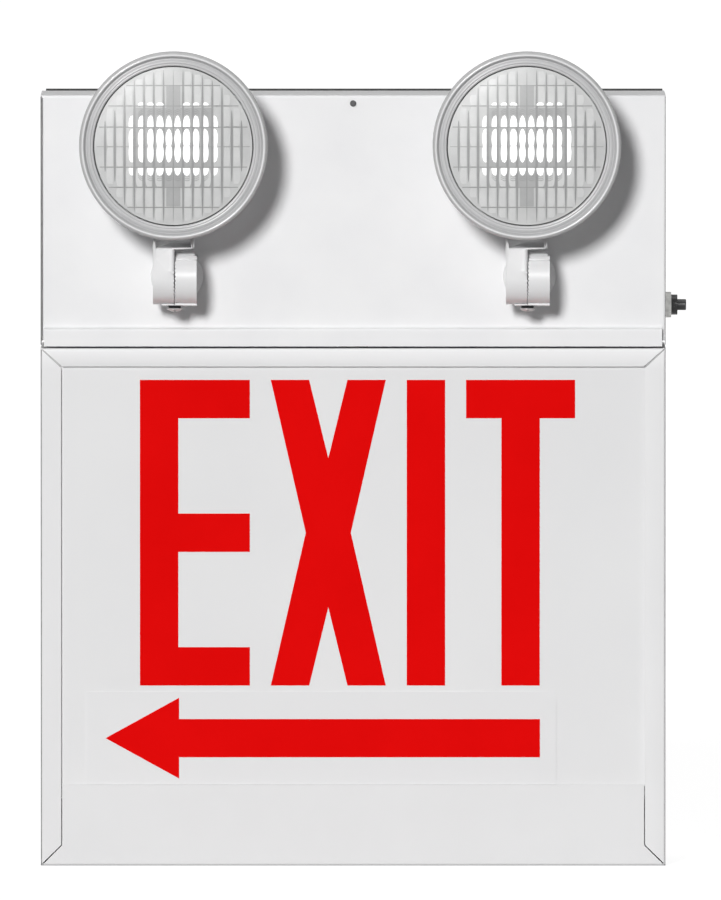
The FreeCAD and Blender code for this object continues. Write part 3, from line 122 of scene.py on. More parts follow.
def hangLights():
    for name in ("key", "top", "leftFill", "rightFill", "backFill"):
        lamp = light[name]
        bpy.ops.object.light_add(type="SUN", location=Vector(lamp["aim"]) * -3)
        sun = bpy.context.object
        sun.name = name + "Light"
        sun.rotation_mode = "QUATERNION"
        sun.rotation_quaternion = Vector(lamp["aim"]).to_track_quat("-Z", "Y")
        sun.data.energy = lamp["strength"]
        sun.data.angle = math.radians(lamp["spread"])
        # the light from behind only fills shade and leaves no glare on the top
        sun.visible_glossy = name != "backFill"
    world = bpy.data.worlds.new("studioRoom")
    bpy.context.scene.world = world
    world.use_nodes = True
    tree = world.node_tree
    tree.nodes.clear()
    out = tree.nodes.new("ShaderNodeOutputWorld")
    mix = tree.nodes.new("ShaderNodeMixShader")
    room = tree.nodes.new("ShaderNodeBackground")
    seen = tree.nodes.new("ShaderNodeBackground")
    room.inputs["Strength"].default_value = light["room"]
    room.inputs["Color"].default_value = (1, 1, 1, 1)
    seen.inputs["Strength"].default_value = light["white"]
    seen.inputs["Color"].default_value = (1, 1, 1, 1)
    tree.links.new(whiteRays(tree), mix.inputs["Fac"])
    tree.links.new(room.outputs[0], mix.inputs[1])
    tree.links.new(seen.outputs[0], mix.inputs[2])
    shiny = tree.nodes.new("ShaderNodeMixShader")
    tent = tree.nodes.new("ShaderNodeBackground")
    tent.inputs["Color"].default_value = (1, 1, 1, 1)
    tree.links.new(tentTone(tree), tent.inputs["Strength"])
    tree.links.new(tree.nodes.new("ShaderNodeLightPath").outputs["Is Glossy Ray"], shiny.inputs["Fac"])
    tree.links.new(mix.outputs[0], shiny.inputs[1])
    tree.links.new(tent.outputs[0], shiny.inputs[2])
    tree.links.new(shiny.outputs[0], out.inputs["Surface"])


def tentTone(tree):
    # how bright the studio looks in a reflection, by the way the reflection points
    split = tree.nodes.new("ShaderNodeSeparateXYZ")
    tree.links.new(tree.nodes.new("ShaderNodeTexCoord").outputs["Generated"], split.inputs[0])
    along = tree.nodes.new("ShaderNodeMapRange")
    along.inputs["From Min"].default_value = -light["turn"]
    along.inputs["From Max"].default_value = light["turn"]
    along.inputs["To Min"].default_value = light["tentFront"]
    along.inputs["To Max"].default_value = light["tentBack"]
    tree.links.new(split.outputs["Y"], along.inputs["Value"])
    aside = tree.nodes.new("ShaderNodeMath")
    aside.operation = "ABSOLUTE"
    tree.links.new(split.outputs["X"], aside.inputs[0])
    shade = tree.nodes.new("ShaderNodeMapRange")
    shade.interpolation_type = "SMOOTHSTEP"
    shade.inputs["From Min"].default_value = light["flagStart"]
    shade.inputs["From Max"].default_value = light["flagFull"]
    shade.inputs["To Min"].default_value = 1.0
    shade.inputs["To Max"].default_value = light["flag"]
    tree.links.new(aside.outputs[0], shade.inputs["Value"])
    tone = tree.nodes.new("ShaderNodeMath")
    tone.operation = "MULTIPLY"
    tree.links.new(along.outputs["Result"], tone.inputs[0])
    tree.links.new(shade.outputs["Result"], tone.inputs[1])
    return tone.outputs[0]


def whiteRays(tree):
    # 1 for what the camera, metal and glass see, 0 for light on the object
    path = tree.nodes.new("ShaderNodeLightPath")
    most = path.outputs["Is Camera Ray"]
    for ray in ("Is Glossy Ray", "Is Transmission Ray"):
        pair = tree.nodes.new("ShaderNodeMath")
        pair.operation = "MAXIMUM"
        tree.links.new(most, pair.inputs[0])
        tree.links.new(path.outputs[ray], pair.inputs[1])
        most = pair.outputs[0]
    return most


floor = {"size": 40.0, "below": 0.0002, "glow": 0.9, "colour": (0.30, 0.30, 0.30, 1)}


def layFloor():
    bpy.ops.mesh.primitive_plane_add(size=floor["size"], location=(0, 0, foot - floor["below"]))
    ground = bpy.context.object
    ground.name = "floor"
    finish = bpy.data.materials.new("paleFloor")
    finish.use_nodes = True
    tree = finish.node_tree
    tree.nodes.clear()
    out = tree.nodes.new("ShaderNodeOutputMaterial")
    add = tree.nodes.new("ShaderNodeAddShader")
    matte = tree.nodes.new("ShaderNodeBsdfDiffuse")
    matte.inputs["Color"].default_value = floor["colour"]
    glow = tree.nodes.new("ShaderNodeEmission")
    dim = tree.nodes.new("ShaderNodeMath")
    dim.operation = "MULTIPLY"
    dim.inputs[1].default_value = floor["glow"]
    tree.links.new(whiteRays(tree), dim.inputs[0])
    tree.links.new(dim.outputs[0], glow.inputs["Strength"])
    tree.links.new(matte.outputs[0], add.inputs[0])
    tree.links.new(glow.outputs[0], add.inputs[1])
    tree.links.new(add.outputs[0], out.inputs["Surface"])
    ground.data.materials.append(finish)


placeCamera()
hangLights()
layFloor()
bpy.context.scene.view_settings.view_transform = "Standard"
print("camera, light and floor")

# ---- finishes

finishes = {
    # grain, pit and relief are in metres: the size of the slow change of shade, and of the fine relief, and its depth
    # the painted top light runs from and to what height above the foot, and gives the colour there
    "case_white": {
        "colour": (0.83, 0.83, 0.835), "shade": (0.80, 0.80, 0.81),
        "rough": 0.42, "grain": 0.05, "pit": 0.0011, "relief": 0.000012,
    },
    "signWhite": {
        "colour": (0.77, 0.77, 0.775), "shade": (0.755, 0.755, 0.76),
        "lift": (0.3300, 0.3435, (0.88, 0.88, 0.885)),
        "rough": 0.42, "grain": 0.05, "pit": 0.0011, "relief": 0.000012,
    },
    "head_white": {
        "colour": (0.85, 0.85, 0.855), "shade": (0.82, 0.82, 0.825),
        "rough": 0.30, "grain": 0.03, "pit": 0.0006, "relief": 0.000004,
    },
    "panel_white": {
        "colour": (0.770, 0.770, 0.774), "shade": (0.752, 0.752, 0.758),
        "rough": 0.50, "grain": 0.12, "pit": 0.0007, "relief": 0.000003,
    },
    "arrow_white": {
        "colour": (0.765, 0.765, 0.77), "shade": (0.75, 0.75, 0.757),
        "rough": 0.45, "grain": 0.10, "pit": 0.0007, "relief": 0.000003,
    },
    "lining_white": {
        "colour": (0.80, 0.80, 0.79), "shade": (0.75, 0.75, 0.74),
        "rough": 0.6, "grain": 0.04, "pit": 0.0010, "relief": 0.000006,
    },
    "felt_grey": {
        "colour": (0.30, 0.30, 0.30), "shade": (0.16, 0.16, 0.17),
        "rough": 0.95, "grain": 0.0012, "pit": 0.0005, "relief": 0.00012,
    },
    "board_white": {
        "colour": (0.74, 0.75, 0.72), "shade": (0.64, 0.65, 0.62),
        "rough": 0.45, "grain": 0.006, "pit": 0.0012, "relief": 0.000008,
    },
    "led_yellow": {
        "colour": (0.80, 0.62, 0.10), "shade": (0.86, 0.74, 0.30),
        "rough": 0.35, "grain": 0.002, "pit": 0.0006, "relief": 0.00001,
    },
    "zinc": {
        "colour": (0.62, 0.62, 0.60), "shade": (0.46, 0.46, 0.45),
        "rough": 0.34, "metal": 1.0, "grain": 0.004, "pit": 0.0008, "relief": 0.00001,
    },
    "black_oxide": {
        "colour": (0.030, 0.030, 0.032), "shade": (0.06, 0.06, 0.062),
        "rough": 0.42, "metal": 0.6, "grain": 0.002, "pit": 0.0004, "relief": 0.00001,
    },
    "battery_grey": {
        "colour": (0.12, 0.125, 0.13), "shade": (0.09, 0.095, 0.10),
        "rough": 0.55, "grain": 0.02, "pit": 0.0009, "relief": 0.00003,
    },
    "tab_tin": {
        "colour": (0.70, 0.69, 0.66), "shade": (0.55, 0.54, 0.52),
        "rough": 0.28, "metal": 1.0, "grain": 0.002, "pit": 0.0005, "relief": 0.000006,
    },
    "core_steel": {
        "colour": (0.28, 0.28, 0.29), "shade": (0.18, 0.17, 0.17),
        "rough": 0.5, "metal": 0.9, "grain": 0.003, "pit": 0.0005, "relief": 0.00004,
    },
    "coil_amber": {
        "colour": (0.48, 0.26, 0.06), "shade": (0.36, 0.17, 0.04),
        "rough": 0.4, "grain": 0.004, "pit": 0.0009, "relief": 0.00003,
    },
    "board_green": {
        "colour": (0.02, 0.16, 0.06), "shade": (0.015, 0.11, 0.045),
        "rough": 0.35, "grain": 0.003, "pit": 0.0009, "relief": 0.00001,
    },
    "relay_blue": {
        "colour": (0.03, 0.10, 0.35), "shade": (0.025, 0.08, 0.28),
        "rough": 0.3, "grain": 0.008, "pit": 0.0008, "relief": 0.00001,
    },
    "cap_black": {
        "colour": (0.02, 0.02, 0.025), "shade": (0.04, 0.04, 0.045),
        "rough": 0.3, "grain": 0.006, "pit": 0.0008, "relief": 0.00001,
    },
    "fin_alloy": {
        "colour": (0.62, 0.63, 0.65), "shade": (0.50, 0.51, 0.53),
        "rough": 0.36, "metal": 1.0, "grain": 0.004, "pit": 0.0006, "relief": 0.00002,
    },
    "block_green": {
        "colour": (0.06, 0.30, 0.12), "shade": (0.05, 0.24, 0.10),
        "rough": 0.42, "grain": 0.006, "pit": 0.0008, "relief": 0.00001,
    },
    "rubber_black": {
        "colour": (0.022, 0.022, 0.022), "shade": (0.045, 0.045, 0.045),
        "rough": 0.75, "grain": 0.004, "pit": 0.0005, "relief": 0.00003,
    },
    "switch_black": {
        "colour": (0.012, 0.012, 0.013), "shade": (0.022, 0.022, 0.024),
        "rough": 0.28, "grain": 0.003, "pit": 0.0004, "relief": 0.000005,
    },
    "capsule_glass": {
        "colour": (0.86, 0.86, 0.86), "shade": (0.80, 0.80, 0.80),
        "rough": 0.25, "grain": 0.004, "pit": 0.0008, "relief": 0.000008,
    },
    "brass": {
        "colour": (0.72, 0.52, 0.22), "shade": (0.58, 0.40, 0.16),
        "rough": 0.3, "metal": 1.0, "grain": 0.003, "pit": 0.0006, "relief": 0.00001,
    },
    "ringWhite": {
        "colour": (0.60, 0.60, 0.605), "shade": (0.57, 0.57, 0.575),
        "rough": 0.26, "grain": 0.03, "pit": 0.0006, "relief": 0.000003,
    },
    "clampSteel": {
        "colour": (0.66, 0.66, 0.655), "shade": (0.55, 0.55, 0.545),
        "rough": 0.38, "metal": 0.5, "grain": 0.002, "pit": 0.0004, "relief": 0.000004,
    },
    "edgeDark": {
        "colour": (0.10, 0.10, 0.10), "shade": (0.08, 0.08, 0.08),
        "rough": 0.5, "grain": 0.004, "pit": 0.0006, "relief": 0.00001,
    },
    "slitGrey": {
        "colour": (0.42, 0.42, 0.42), "shade": (0.38, 0.38, 0.38),
        "rough": 0.5, "grain": 0.004, "pit": 0.0006, "relief": 0.00001,
    },
    "edgeGrey": {
        "colour": (0.25, 0.25, 0.25), "shade": (0.20, 0.20, 0.20),
        "rough": 0.5, "grain": 0.004, "pit": 0.0006, "relief": 0.00001,
    },
    # painted highlight on the ring's crest; painted shade on its outer flank and in its grooves
    "ringCrest": {
        "colour": (0.84, 0.84, 0.845), "shade": (0.80, 0.80, 0.805),
        "rough": 0.20, "grain": 0.03, "pit": 0.0006, "relief": 0.000002,
    },
    "ringFlank": {
        "colour": (0.50, 0.50, 0.50), "shade": (0.46, 0.46, 0.46),
        "rough": 0.4, "grain": 0.004, "pit": 0.0006, "relief": 0.000008,
    },
    "ringGroove": {
        "colour": (0.49, 0.49, 0.495), "shade": (0.46, 0.46, 0.465),
        "rough": 0.35, "grain": 0.03, "pit": 0.0006, "relief": 0.000003,
    },
    # the lens's painted pattern: painted reflections of the silver bowl seen through the flutes, from the open fields
    # to the painted glints over the bulb, with painted shade along flute edges, bars and ripples
    "pressedLight": {
        "colour": (0.66, 0.66, 0.66), "shade": (0.60, 0.60, 0.602),
        "rough": 0.35, "grain": 0.012, "pit": 0.0007, "relief": 0.000012,
    },
    "pressedOpen": {
        "colour": (0.74, 0.74, 0.74), "shade": (0.68, 0.68, 0.682),
        "rough": 0.35, "grain": 0.009, "pit": 0.0007, "relief": 0.00001,
    },
    "pressedGrey": {
        "colour": (0.47, 0.47, 0.473), "shade": (0.44, 0.44, 0.443),
        "rough": 0.35, "grain": 0.006, "pit": 0.0007, "relief": 0.00001,
    },
    "pressedDark": {
        "colour": (0.36, 0.36, 0.363), "shade": (0.33, 0.33, 0.333),
        "rough": 0.30, "grain": 0.004, "pit": 0.0005, "relief": 0.00001,
    },
    "pressedBright": {
        "colour": (0.95, 0.95, 0.95), "shade": (0.93, 0.93, 0.93),
        "rough": 0.30, "glow": 0.55, "grain": 0.004, "pit": 0.0005, "relief": 0.000004,
    },
    "legend_red": {
        "colour": (0.82, 0.0040, 0.0040), "shade": (0.79, 0.0035, 0.0035),
        "rough": 0.6, "shine": 0.0, "grain": 0.05, "pit": 0.0008, "relief": 0.000003,
    },
}
made = {}


def mixFinish(name):
    # paint, plastic or metal with a slow change of shade, a fine relief and a little wear in its gloss
    if name in made:
        return made[name]
    look = finishes[name]
    finish = bpy.data.materials.new(name)
    finish.use_nodes = True
    tree = finish.node_tree
    skin = tree.nodes["Principled BSDF"]
    place = tree.nodes.new("ShaderNodeTexCoord").outputs["Object"]
    grain = tree.nodes.new("ShaderNodeTexNoise")
    grain.inputs["Scale"].default_value = 1 / look["grain"]
    grain.inputs["Detail"].default_value = 3.0
    tree.links.new(place, grain.inputs["Vector"])
    colours = tree.nodes.new("ShaderNodeMix")
    colours.data_type = "RGBA"
    colours.inputs[6].default_value = (*look["colour"], 1)
    colours.inputs[7].default_value = (*look["shade"], 1)
    spread = tree.nodes.new("ShaderNodeMapRange")
    spread.inputs["From Min"].default_value = 0.35
    spread.inputs["From Max"].default_value = 0.65
    tree.links.new(grain.outputs["Fac"], spread.inputs["Value"])
    tree.links.new(spread.outputs["Result"], colours.inputs[0])
    colour = colours.outputs[2]
    if "lift" in look:
        # painted light: the colour brightens towards the top edge, standing in for the top light and bounce falling
        # there
        low, high, litColour = look["lift"]
        split = tree.nodes.new("ShaderNodeSeparateXYZ")
        tree.links.new(place, split.inputs[0])
        climb = tree.nodes.new("ShaderNodeMapRange")
        climb.inputs["From Min"].default_value = foot + low
        climb.inputs["From Max"].default_value = foot + high
        tree.links.new(split.outputs["Z"], climb.inputs["Value"])
        paintedLitColour = tree.nodes.new("ShaderNodeMix")
        paintedLitColour.data_type = "RGBA"
        paintedLitColour.inputs[7].default_value = (*litColour, 1)
        tree.links.new(climb.outputs["Result"], paintedLitColour.inputs[0])
        tree.links.new(colour, paintedLitColour.inputs[6])
        colour = paintedLitColour.outputs[2]
    tree.links.new(colour, skin.inputs["Base Color"])
    gloss = tree.nodes.new("ShaderNodeMapRange")
    gloss.inputs["To Min"].default_value = look["rough"] * 0.88
    gloss.inputs["To Max"].default_value = min(1.0, look["rough"] * 1.12)
    tree.links.new(grain.outputs["Fac"], gloss.inputs["Value"])
    tree.links.new(gloss.outputs["Result"], skin.inputs["Roughness"])
    pits = tree.nodes.new("ShaderNodeTexNoise")
    pits.inputs["Scale"].default_value = 1 / look["pit"]
    pits.inputs["Detail"].default_value = 2.0
    tree.links.new(place, pits.inputs["Vector"])
    relief = tree.nodes.new("ShaderNodeBump")
    relief.inputs["Strength"].default_value = 1.0
    relief.inputs["Distance"].default_value = look["relief"]
    tree.links.new(pits.outputs["Fac"], relief.inputs["Height"])
    tree.links.new(relief.outputs["Normal"], skin.inputs["Normal"])
    skin.inputs["Metallic"].default_value = look.get("metal", 0.0)
    skin.inputs["Specular IOR Level"].default_value = look.get("shine", 0.5)
    skin.inputs["Emission Color"].default_value = (1, 1, 1, 1)
    # glow makes a finish shine by itself; only the lens's painted glints use it
    skin.inputs["Emission Strength"].default_value = look.get("glow", 0.0)
    made[name] = finish
    return finish


glass = {"clear": (0.96, 0.965, 0.96, 1), "shadow": (0.96, 0.96, 0.96, 1), "rough": 0.30, "index": 1.45, "gloss": 0.14}


def mixGlass():
    # clear glass: see-through without bending, with a soft faint reflection that grows towards its edges
    finish = bpy.data.materials.new("clearLens")
    finish.use_nodes = True
    tree = finish.node_tree
    tree.nodes.clear()
    out = tree.nodes.new("ShaderNodeOutputMaterial")
    shade = tree.nodes.new("ShaderNodeMixShader")
    mix = tree.nodes.new("ShaderNodeMixShader")
    clear = tree.nodes.new("ShaderNodeBsdfTransparent")
    clear.inputs["Color"].default_value = glass["clear"]
    gloss = tree.nodes.new("ShaderNodeBsdfGlossy")
    gloss.inputs["Roughness"].default_value = glass["rough"]
    edge = tree.nodes.new("ShaderNodeFresnel")
    edge.inputs["IOR"].default_value = glass["index"]
    through = tree.nodes.new("ShaderNodeBsdfTransparent")
    through.inputs["Color"].default_value = glass["shadow"]
    path = tree.nodes.new("ShaderNodeLightPath")
    faint = tree.nodes.new("ShaderNodeMath")
    faint.operation = "MULTIPLY"
    faint.inputs[1].default_value = glass["gloss"]
    tree.links.new(edge.outputs[0], faint.inputs[0])
    tree.links.new(faint.outputs[0], mix.inputs["Fac"])
    tree.links.new(clear.outputs[0], mix.inputs[1])
    tree.links.new(gloss.outputs[0], mix.inputs[2])
    tree.links.new(path.outputs["Is Shadow Ray"], shade.inputs["Fac"])
    tree.links.new(mix.outputs[0], shade.inputs[1])
    tree.links.new(through.outputs[0], shade.inputs[2])
    tree.links.new(shade.outputs[0], out.inputs["Surface"])
    return finish


silver = {
    "bright": 0.020,
    "fade": 0.010,
    "middle": (0.96, 0.96, 0.96, 1),
    "rim": (0.50, 0.50, 0.51, 1),
    "metal": 0.25,
    "haze": 60,
    "satin": (0.32, 0.42),
}


def mixSilver():
    # satin silvering with a painted reflection: white within a reach of each lamp's own axis, fading to grey at the
    # rim, brightest at the back of the bowl
    finish = bpy.data.materials.new("bowlSilver")
    finish.use_nodes = True
    tree = finish.node_tree
    skin = tree.nodes["Principled BSDF"]
    skin.inputs["Metallic"].default_value = silver["metal"]
    place = tree.nodes.new("ShaderNodeTexCoord").outputs["Object"]
    split = tree.nodes.new("ShaderNodeSeparateXYZ")
    tree.links.new(place, split.inputs[0])
    far = None
    for side in ("left", "right"):
        axis = middle(side + "_reflector")
        flat = tree.nodes.new("ShaderNodeCombineXYZ")
        tree.links.new(split.outputs["X"], flat.inputs["X"])
        tree.links.new(split.outputs["Z"], flat.inputs["Z"])
        reach = tree.nodes.new("ShaderNodeVectorMath")
        reach.operation = "DISTANCE"
        tree.links.new(flat.outputs[0], reach.inputs[0])
        reach.inputs[1].default_value = (axis.x, 0, axis.z)
        if far is None:
            far = reach.outputs["Value"]
        else:
            least = tree.nodes.new("ShaderNodeMath")
            least.operation = "MINIMUM"
            tree.links.new(far, least.inputs[0])
            tree.links.new(reach.outputs["Value"], least.inputs[1])
            far = least.outputs[0]
    fade = tree.nodes.new("ShaderNodeMapRange")
    fade.interpolation_type = "SMOOTHSTEP"
    fade.inputs["From Min"].default_value = silver["bright"]
    fade.inputs["From Max"].default_value = silver["bright"] + silver["fade"]
    tree.links.new(far, fade.inputs["Value"])
    colours = tree.nodes.new("ShaderNodeMix")
    colours.data_type = "RGBA"
    colours.inputs[6].default_value = silver["middle"]
    colours.inputs[7].default_value = silver["rim"]
    tree.links.new(fade.outputs["Result"], colours.inputs[0])
    tree.links.new(colours.outputs[2], skin.inputs["Base Color"])
    haze = tree.nodes.new("ShaderNodeTexNoise")
    haze.inputs["Scale"].default_value = silver["haze"]
    tree.links.new(place, haze.inputs["Vector"])
    gloss = tree.nodes.new("ShaderNodeMapRange")
    gloss.inputs["To Min"].default_value, gloss.inputs["To Max"].default_value = silver["satin"]
    tree.links.new(haze.outputs["Fac"], gloss.inputs["Value"])
    tree.links.new(gloss.outputs["Result"], skin.inputs["Roughness"])
    return finish


made["lens_glass"] = mixGlass()
made["reflector_silver"] = mixSilver()

slotOf = {name: node.material_slots[0].material.name.split(".")[0] for name, node in nodes.items()}
for name, node in nodes.items():
    node.material_slots[0].material = mixFinish(slotOf[name])
print(sorted(set(slotOf.values())))
print("finishes on the frame's own nodes")

# ---- tools


def onlyOne(piece):
    if bpy.context.object and bpy.context.object.mode != "OBJECT":
        bpy.ops.object.mode_set(mode="OBJECT")
    bpy.ops.object.select_all(action="DESELECT")
    piece.select_set(True)
    bpy.context.view_layer.objects.active = piece


def settle(piece, name, finish, body):
    onlyOne(piece)
    bpy.ops.object.transform_apply(location=True, rotation=True, scale=True)
    piece.name = name
    piece.data.name = name
    finishesUsed = [finish] if isinstance(finish, str) else list(finish)
    which = [face.material_index for face in piece.data.polygons]
    piece.data.materials.clear()
    for used in finishesUsed:
        piece.data.materials.append(mixFinish(used))
    piece.data.polygons.foreach_set("material_index", [min(number, len(finishesUsed) - 1) for number in which])
    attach(piece, body)
    return piece


sameCorner = 0.000002
sharpFrom = math.radians(30)


def refine(node, name, finish=None):
    # the node's own solid, merged, with its curves shaded smooth
    source = nodes[node]
    mesh = source.data.copy()
    piece = bpy.data.objects.new(name, mesh)
    bpy.context.scene.collection.objects.link(piece)
    onlyOne(piece)
    bpy.ops.object.mode_set(mode="EDIT")
    bpy.ops.mesh.select_all(action="SELECT")
    bpy.ops.mesh.remove_doubles(threshold=sameCorner)
    bpy.ops.object.mode_set(mode="OBJECT")
    bpy.ops.object.shade_smooth_by_angle(angle=sharpFrom)
    even = piece.modifiers.new("evenShading", "WEIGHTED_NORMAL")
    even.keep_sharp = True
    bpy.ops.object.modifier_apply(modifier=even.name)
    settle(piece, name, finish or slotOf[node], source["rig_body"])
    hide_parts(node)
    return piece


# ---- red legend and arrow

legend = {
    "height": 0.2032,
    "stroke": 0.0255,
    "wideE": 0.0730,
    "wideX": 0.0764,
    "wideT": 0.0724,
    "gap": 0.0139,
    "centre": 0.0029,
    "drop": 0.0089,  # below the window's top
    "notch": 0.0520,  # how deep the X's top and bottom notches go
    "waist": 0.0299,
    "film": 0.00016,
    "lap": 0.009,  # how far the panel reaches above the window
}
arrow = {
    "tip": -0.1645,
    "back": -0.1156,
    "tail": 0.1241,
    "up": 0.0847,  # above the foot
    "half": 0.0127,
    "head": 0.0269,
    "film": 0.00016,
}
glueGap = 0.00002  # keeps a film off the face that it lies on


def filmShape(name, outline, face, film, finish, body):
    # a flat film cut to an outline, laid on a face that looks into the room
    curve = bpy.data.curves.new(name, "CURVE")
    curve.dimensions = "2D"
    curve.fill_mode = "BOTH"
    curve.extrude = film / 2
    line = curve.splines.new("POLY")
    line.points.add(len(outline) - 1)
    for point, (x, z) in zip(line.points, outline):
        point.co = (x, z, 0, 1)
    line.use_cyclic_u = True
    piece = bpy.data.objects.new(name, curve)
    bpy.context.scene.collection.objects.link(piece)
    onlyOne(piece)
    bpy.ops.object.convert(target="MESH")
    piece = bpy.context.object
    piece.rotation_euler = (math.radians(90), 0, 0)
    piece.location = (0, face - film / 2 - glueGap, 0)
    return settle(piece, name, finish, body)


def makeLegend():
    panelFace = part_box("sign_panel")[0].y
    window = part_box("sign_panel")[1].z - legend["lap"]
    high, stroke, gap = legend["height"], legend["stroke"], legend["gap"]
    top = window - legend["drop"]
    low, mid = top - high, top - high / 2
    wide = legend["wideE"] + legend["wideX"] + stroke + legend["wideT"] + 3 * gap
    x = legend["centre"] - wide / 2
    right = x + legend["wideE"]
    shapes = {"letterE": [(x, low), (right, low), (right, low + stroke), (x + stroke, low + stroke),
                          (x + stroke, mid - stroke / 2), (right, mid - stroke / 2), (right, mid + stroke / 2),
                          (x + stroke, mid + stroke / 2), (x + stroke, top - stroke), (right, top - stroke),
                          (right, top), (x, top)]}
    x = right + gap
    right = x + legend["wideX"]
    centre = (x + right) / 2
    shapes["letterX"] = [(x, low), (x + stroke, low), (centre, low + legend["notch"]), (right - stroke, low), (right, low),
                         (centre + legend["waist"] / 2, mid), (right, top), (right - stroke, top),
                         (centre, top - legend["notch"]), (x + stroke, top), (x, top), (centre - legend["waist"] / 2, mid)]
    x = right + gap
    shapes["letterI"] = [(x, low), (x + stroke, low), (x + stroke, top), (x, top)]
    x += stroke + gap
    right = x + legend["wideT"]
    centre = (x + right) / 2
    shapes["letterT"] = [(centre - stroke / 2, low), (centre + stroke / 2, low), (centre + stroke / 2, top - stroke),
                         (right, top - stroke), (right, top), (x, top), (x, top - stroke), (centre - stroke / 2, top - stroke)]
    for name, outline in shapes.items():
        filmShape(name, outline, panelFace, legend["film"], "legend_red", "case")
    up = foot + arrow["up"]
    half, head = arrow["half"], arrow["head"]
    filmShape("arrowFilm", [(arrow["tip"], up), (arrow["back"], up - head), (arrow["back"], up - half),
                            (arrow["tail"], up - half), (arrow["tail"], up + half), (arrow["back"], up + half),
                            (arrow["back"], up + head)],
              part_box("arrow_plate")[0].y, arrow["film"], "legend_red", "case")


makeLegend()
print("legend and arrow")

# ---- lamps: turned rings, and the painted pattern of reflections under each lens

ring = {
    # radius, and how far behind the crest, both in millimetres, from the skirt's foot round to the seat
    "section": [
        (62.4, 14.0), (62.4, 2.6), (62.25, 1.8), (61.8, 1.0), (61.2, 0.45), (60.6, 0.10), (60.2, 0.0), (59.7, 0.12),
        (59.2, 0.7), (58.4, 2.3), (58.0, 2.7), (57.4, 2.75), (56.9, 2.4), (56.2, 1.75), (55.6, 1.6), (55.0, 1.75),
        (54.7, 2.0), (54.4, 1.85), (53.8, 1.9), (53.3, 2.2), (53.0, 2.7), (53.0, 3.7), (60.4, 3.7), (60.4, 14.0),
    ],
    "steps": 180,
    "smooth": 40,
    "bandDepth": 0.0031,  # the bands are on the front only, this far behind the crest
    # painted highlight on the crest, painted shade on the outer flank and in the grooves: from and to which radius
    "bands": (
        ("ringCrest", 59.7, 60.7),
        ("ringFlank", 61.1, 62.0),
        ("ringGroove", 56.9, 59.3),
        ("ringGroove", 54.45, 54.9),
    ),
}


def turnRing(side):
    # the ring's section swept once round the lamp's axis
    node = side + "_lamp_ring"
    centre, crest = middle(node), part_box(node)[0].y
    mesh = bpy.data.meshes.new(side + "LampRing")
    piece = bpy.data.objects.new(side + "LampRing", mesh)
    bpy.context.scene.collection.objects.link(piece)
    rim = bmesh.new()
    points = [rim.verts.new((centre.x + radius / 1000, crest + behind / 1000, centre.z))
              for radius, behind in ring["section"]]
    for first, second in zip(points, points[1:] + points[:1]):
        rim.edges.new((first, second))
    rim.to_mesh(mesh)
    rim.free()
    onlyOne(piece)
    bpy.ops.object.mode_set(mode="EDIT")
    bpy.ops.mesh.select_all(action="SELECT")
    bpy.ops.mesh.spin(steps=ring["steps"], angle=math.tau, center=(centre.x, 0, centre.z), axis=(0, 1, 0))
    bpy.ops.mesh.select_all(action="SELECT")
    bpy.ops.mesh.remove_doubles(threshold=sameCorner)
    bpy.ops.mesh.normals_make_consistent(inside=False)
    bpy.ops.object.mode_set(mode="OBJECT")
    bpy.ops.object.shade_smooth_by_angle(angle=math.radians(ring["smooth"]))
    # painted highlight and shade: the bands' finishes, laid on the ring's front faces by radius
    for face in mesh.polygons:
        radius = math.hypot(face.center.x - centre.x, face.center.z - centre.z) * 1000
        for number, (_, inner, outer) in enumerate(ring["bands"], 1):
            if inner < radius < outer and face.center.y < crest + ring["bandDepth"]:
                face.material_index = number
    settle(piece, side + "LampRing", ("ringWhite", *(band[0] for band in ring["bands"])), nodes[node]["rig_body"])
    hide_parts(node)


lens = {
    "radius": 52.3,
    "flute": 6.45,
    "bars": (40.1, 26.6, 12.6, -0.4, -13.9, -27.3, -40.6),
    # bright fields: distance of the inner edge from the middle, width, where the top peaks across it
    "columns": ((0.75, 4.3, 0.5), (6.4, 4.7, 0.57), (13.1, 4.1, 0.40), (20.0, 3.3, 0.10), (26.8, 2.6, 0.0)),
    # bright rows: level of the straight edge, height, way, first and last column
    "rows": ((27.0, 1.9, 1, 1, 3), (12.8, 7.5, 1, 0, 4), (-14.5, 4.9, -1, 0, 4)),
    # the two middle rows swell about their own levels
    "swells": ((5.05, 6.45), (-4.4, 6.4)),
    "curve": 0.531,  # radius of the domed front, in metres
    # how far under the dome each layer lies; the second swell overlaps the first
    "discDepth": 1.1,
    "greyDepth": 0.95,
    "stripeDepth": 0.90,
    "edgeDepth": 0.80,
    "openDepth": 0.75,
    "barDepth": 0.70,
    "rippleDepth": 0.62,
    "brightDepth": 0.5,
    "lowSwellDepth": 0.48,
    # half-widths of the grey zone and the stripe, of a flute's edge, of a bar, and of those in the middle
    "greyHalf": 25.4,
    "stripeHalf": 4.6,
    "edgeHalf": 0.80,
    "middleEdgeHalf": 0.35,
    "barHalf": 0.26,
    "middleBarHalf": 0.16,
    # open fields: gap at a flute's near and far side, gap at a bar, least height, narrowest share of the width
    "openNear": 1.2,
    "openFar": 0.9,
    "openGap": 0.5,
    "openLeast": 2,
    "openWaist": 0.72,
    # ripples: pitch, drop at their ends, line width
    "ripplePitch": 1.25,
    "rippleDrop": 3.0,
    "rippleLine": 0.36,
    "tip": 0.06,  # a bright field ends in this share of its width
}


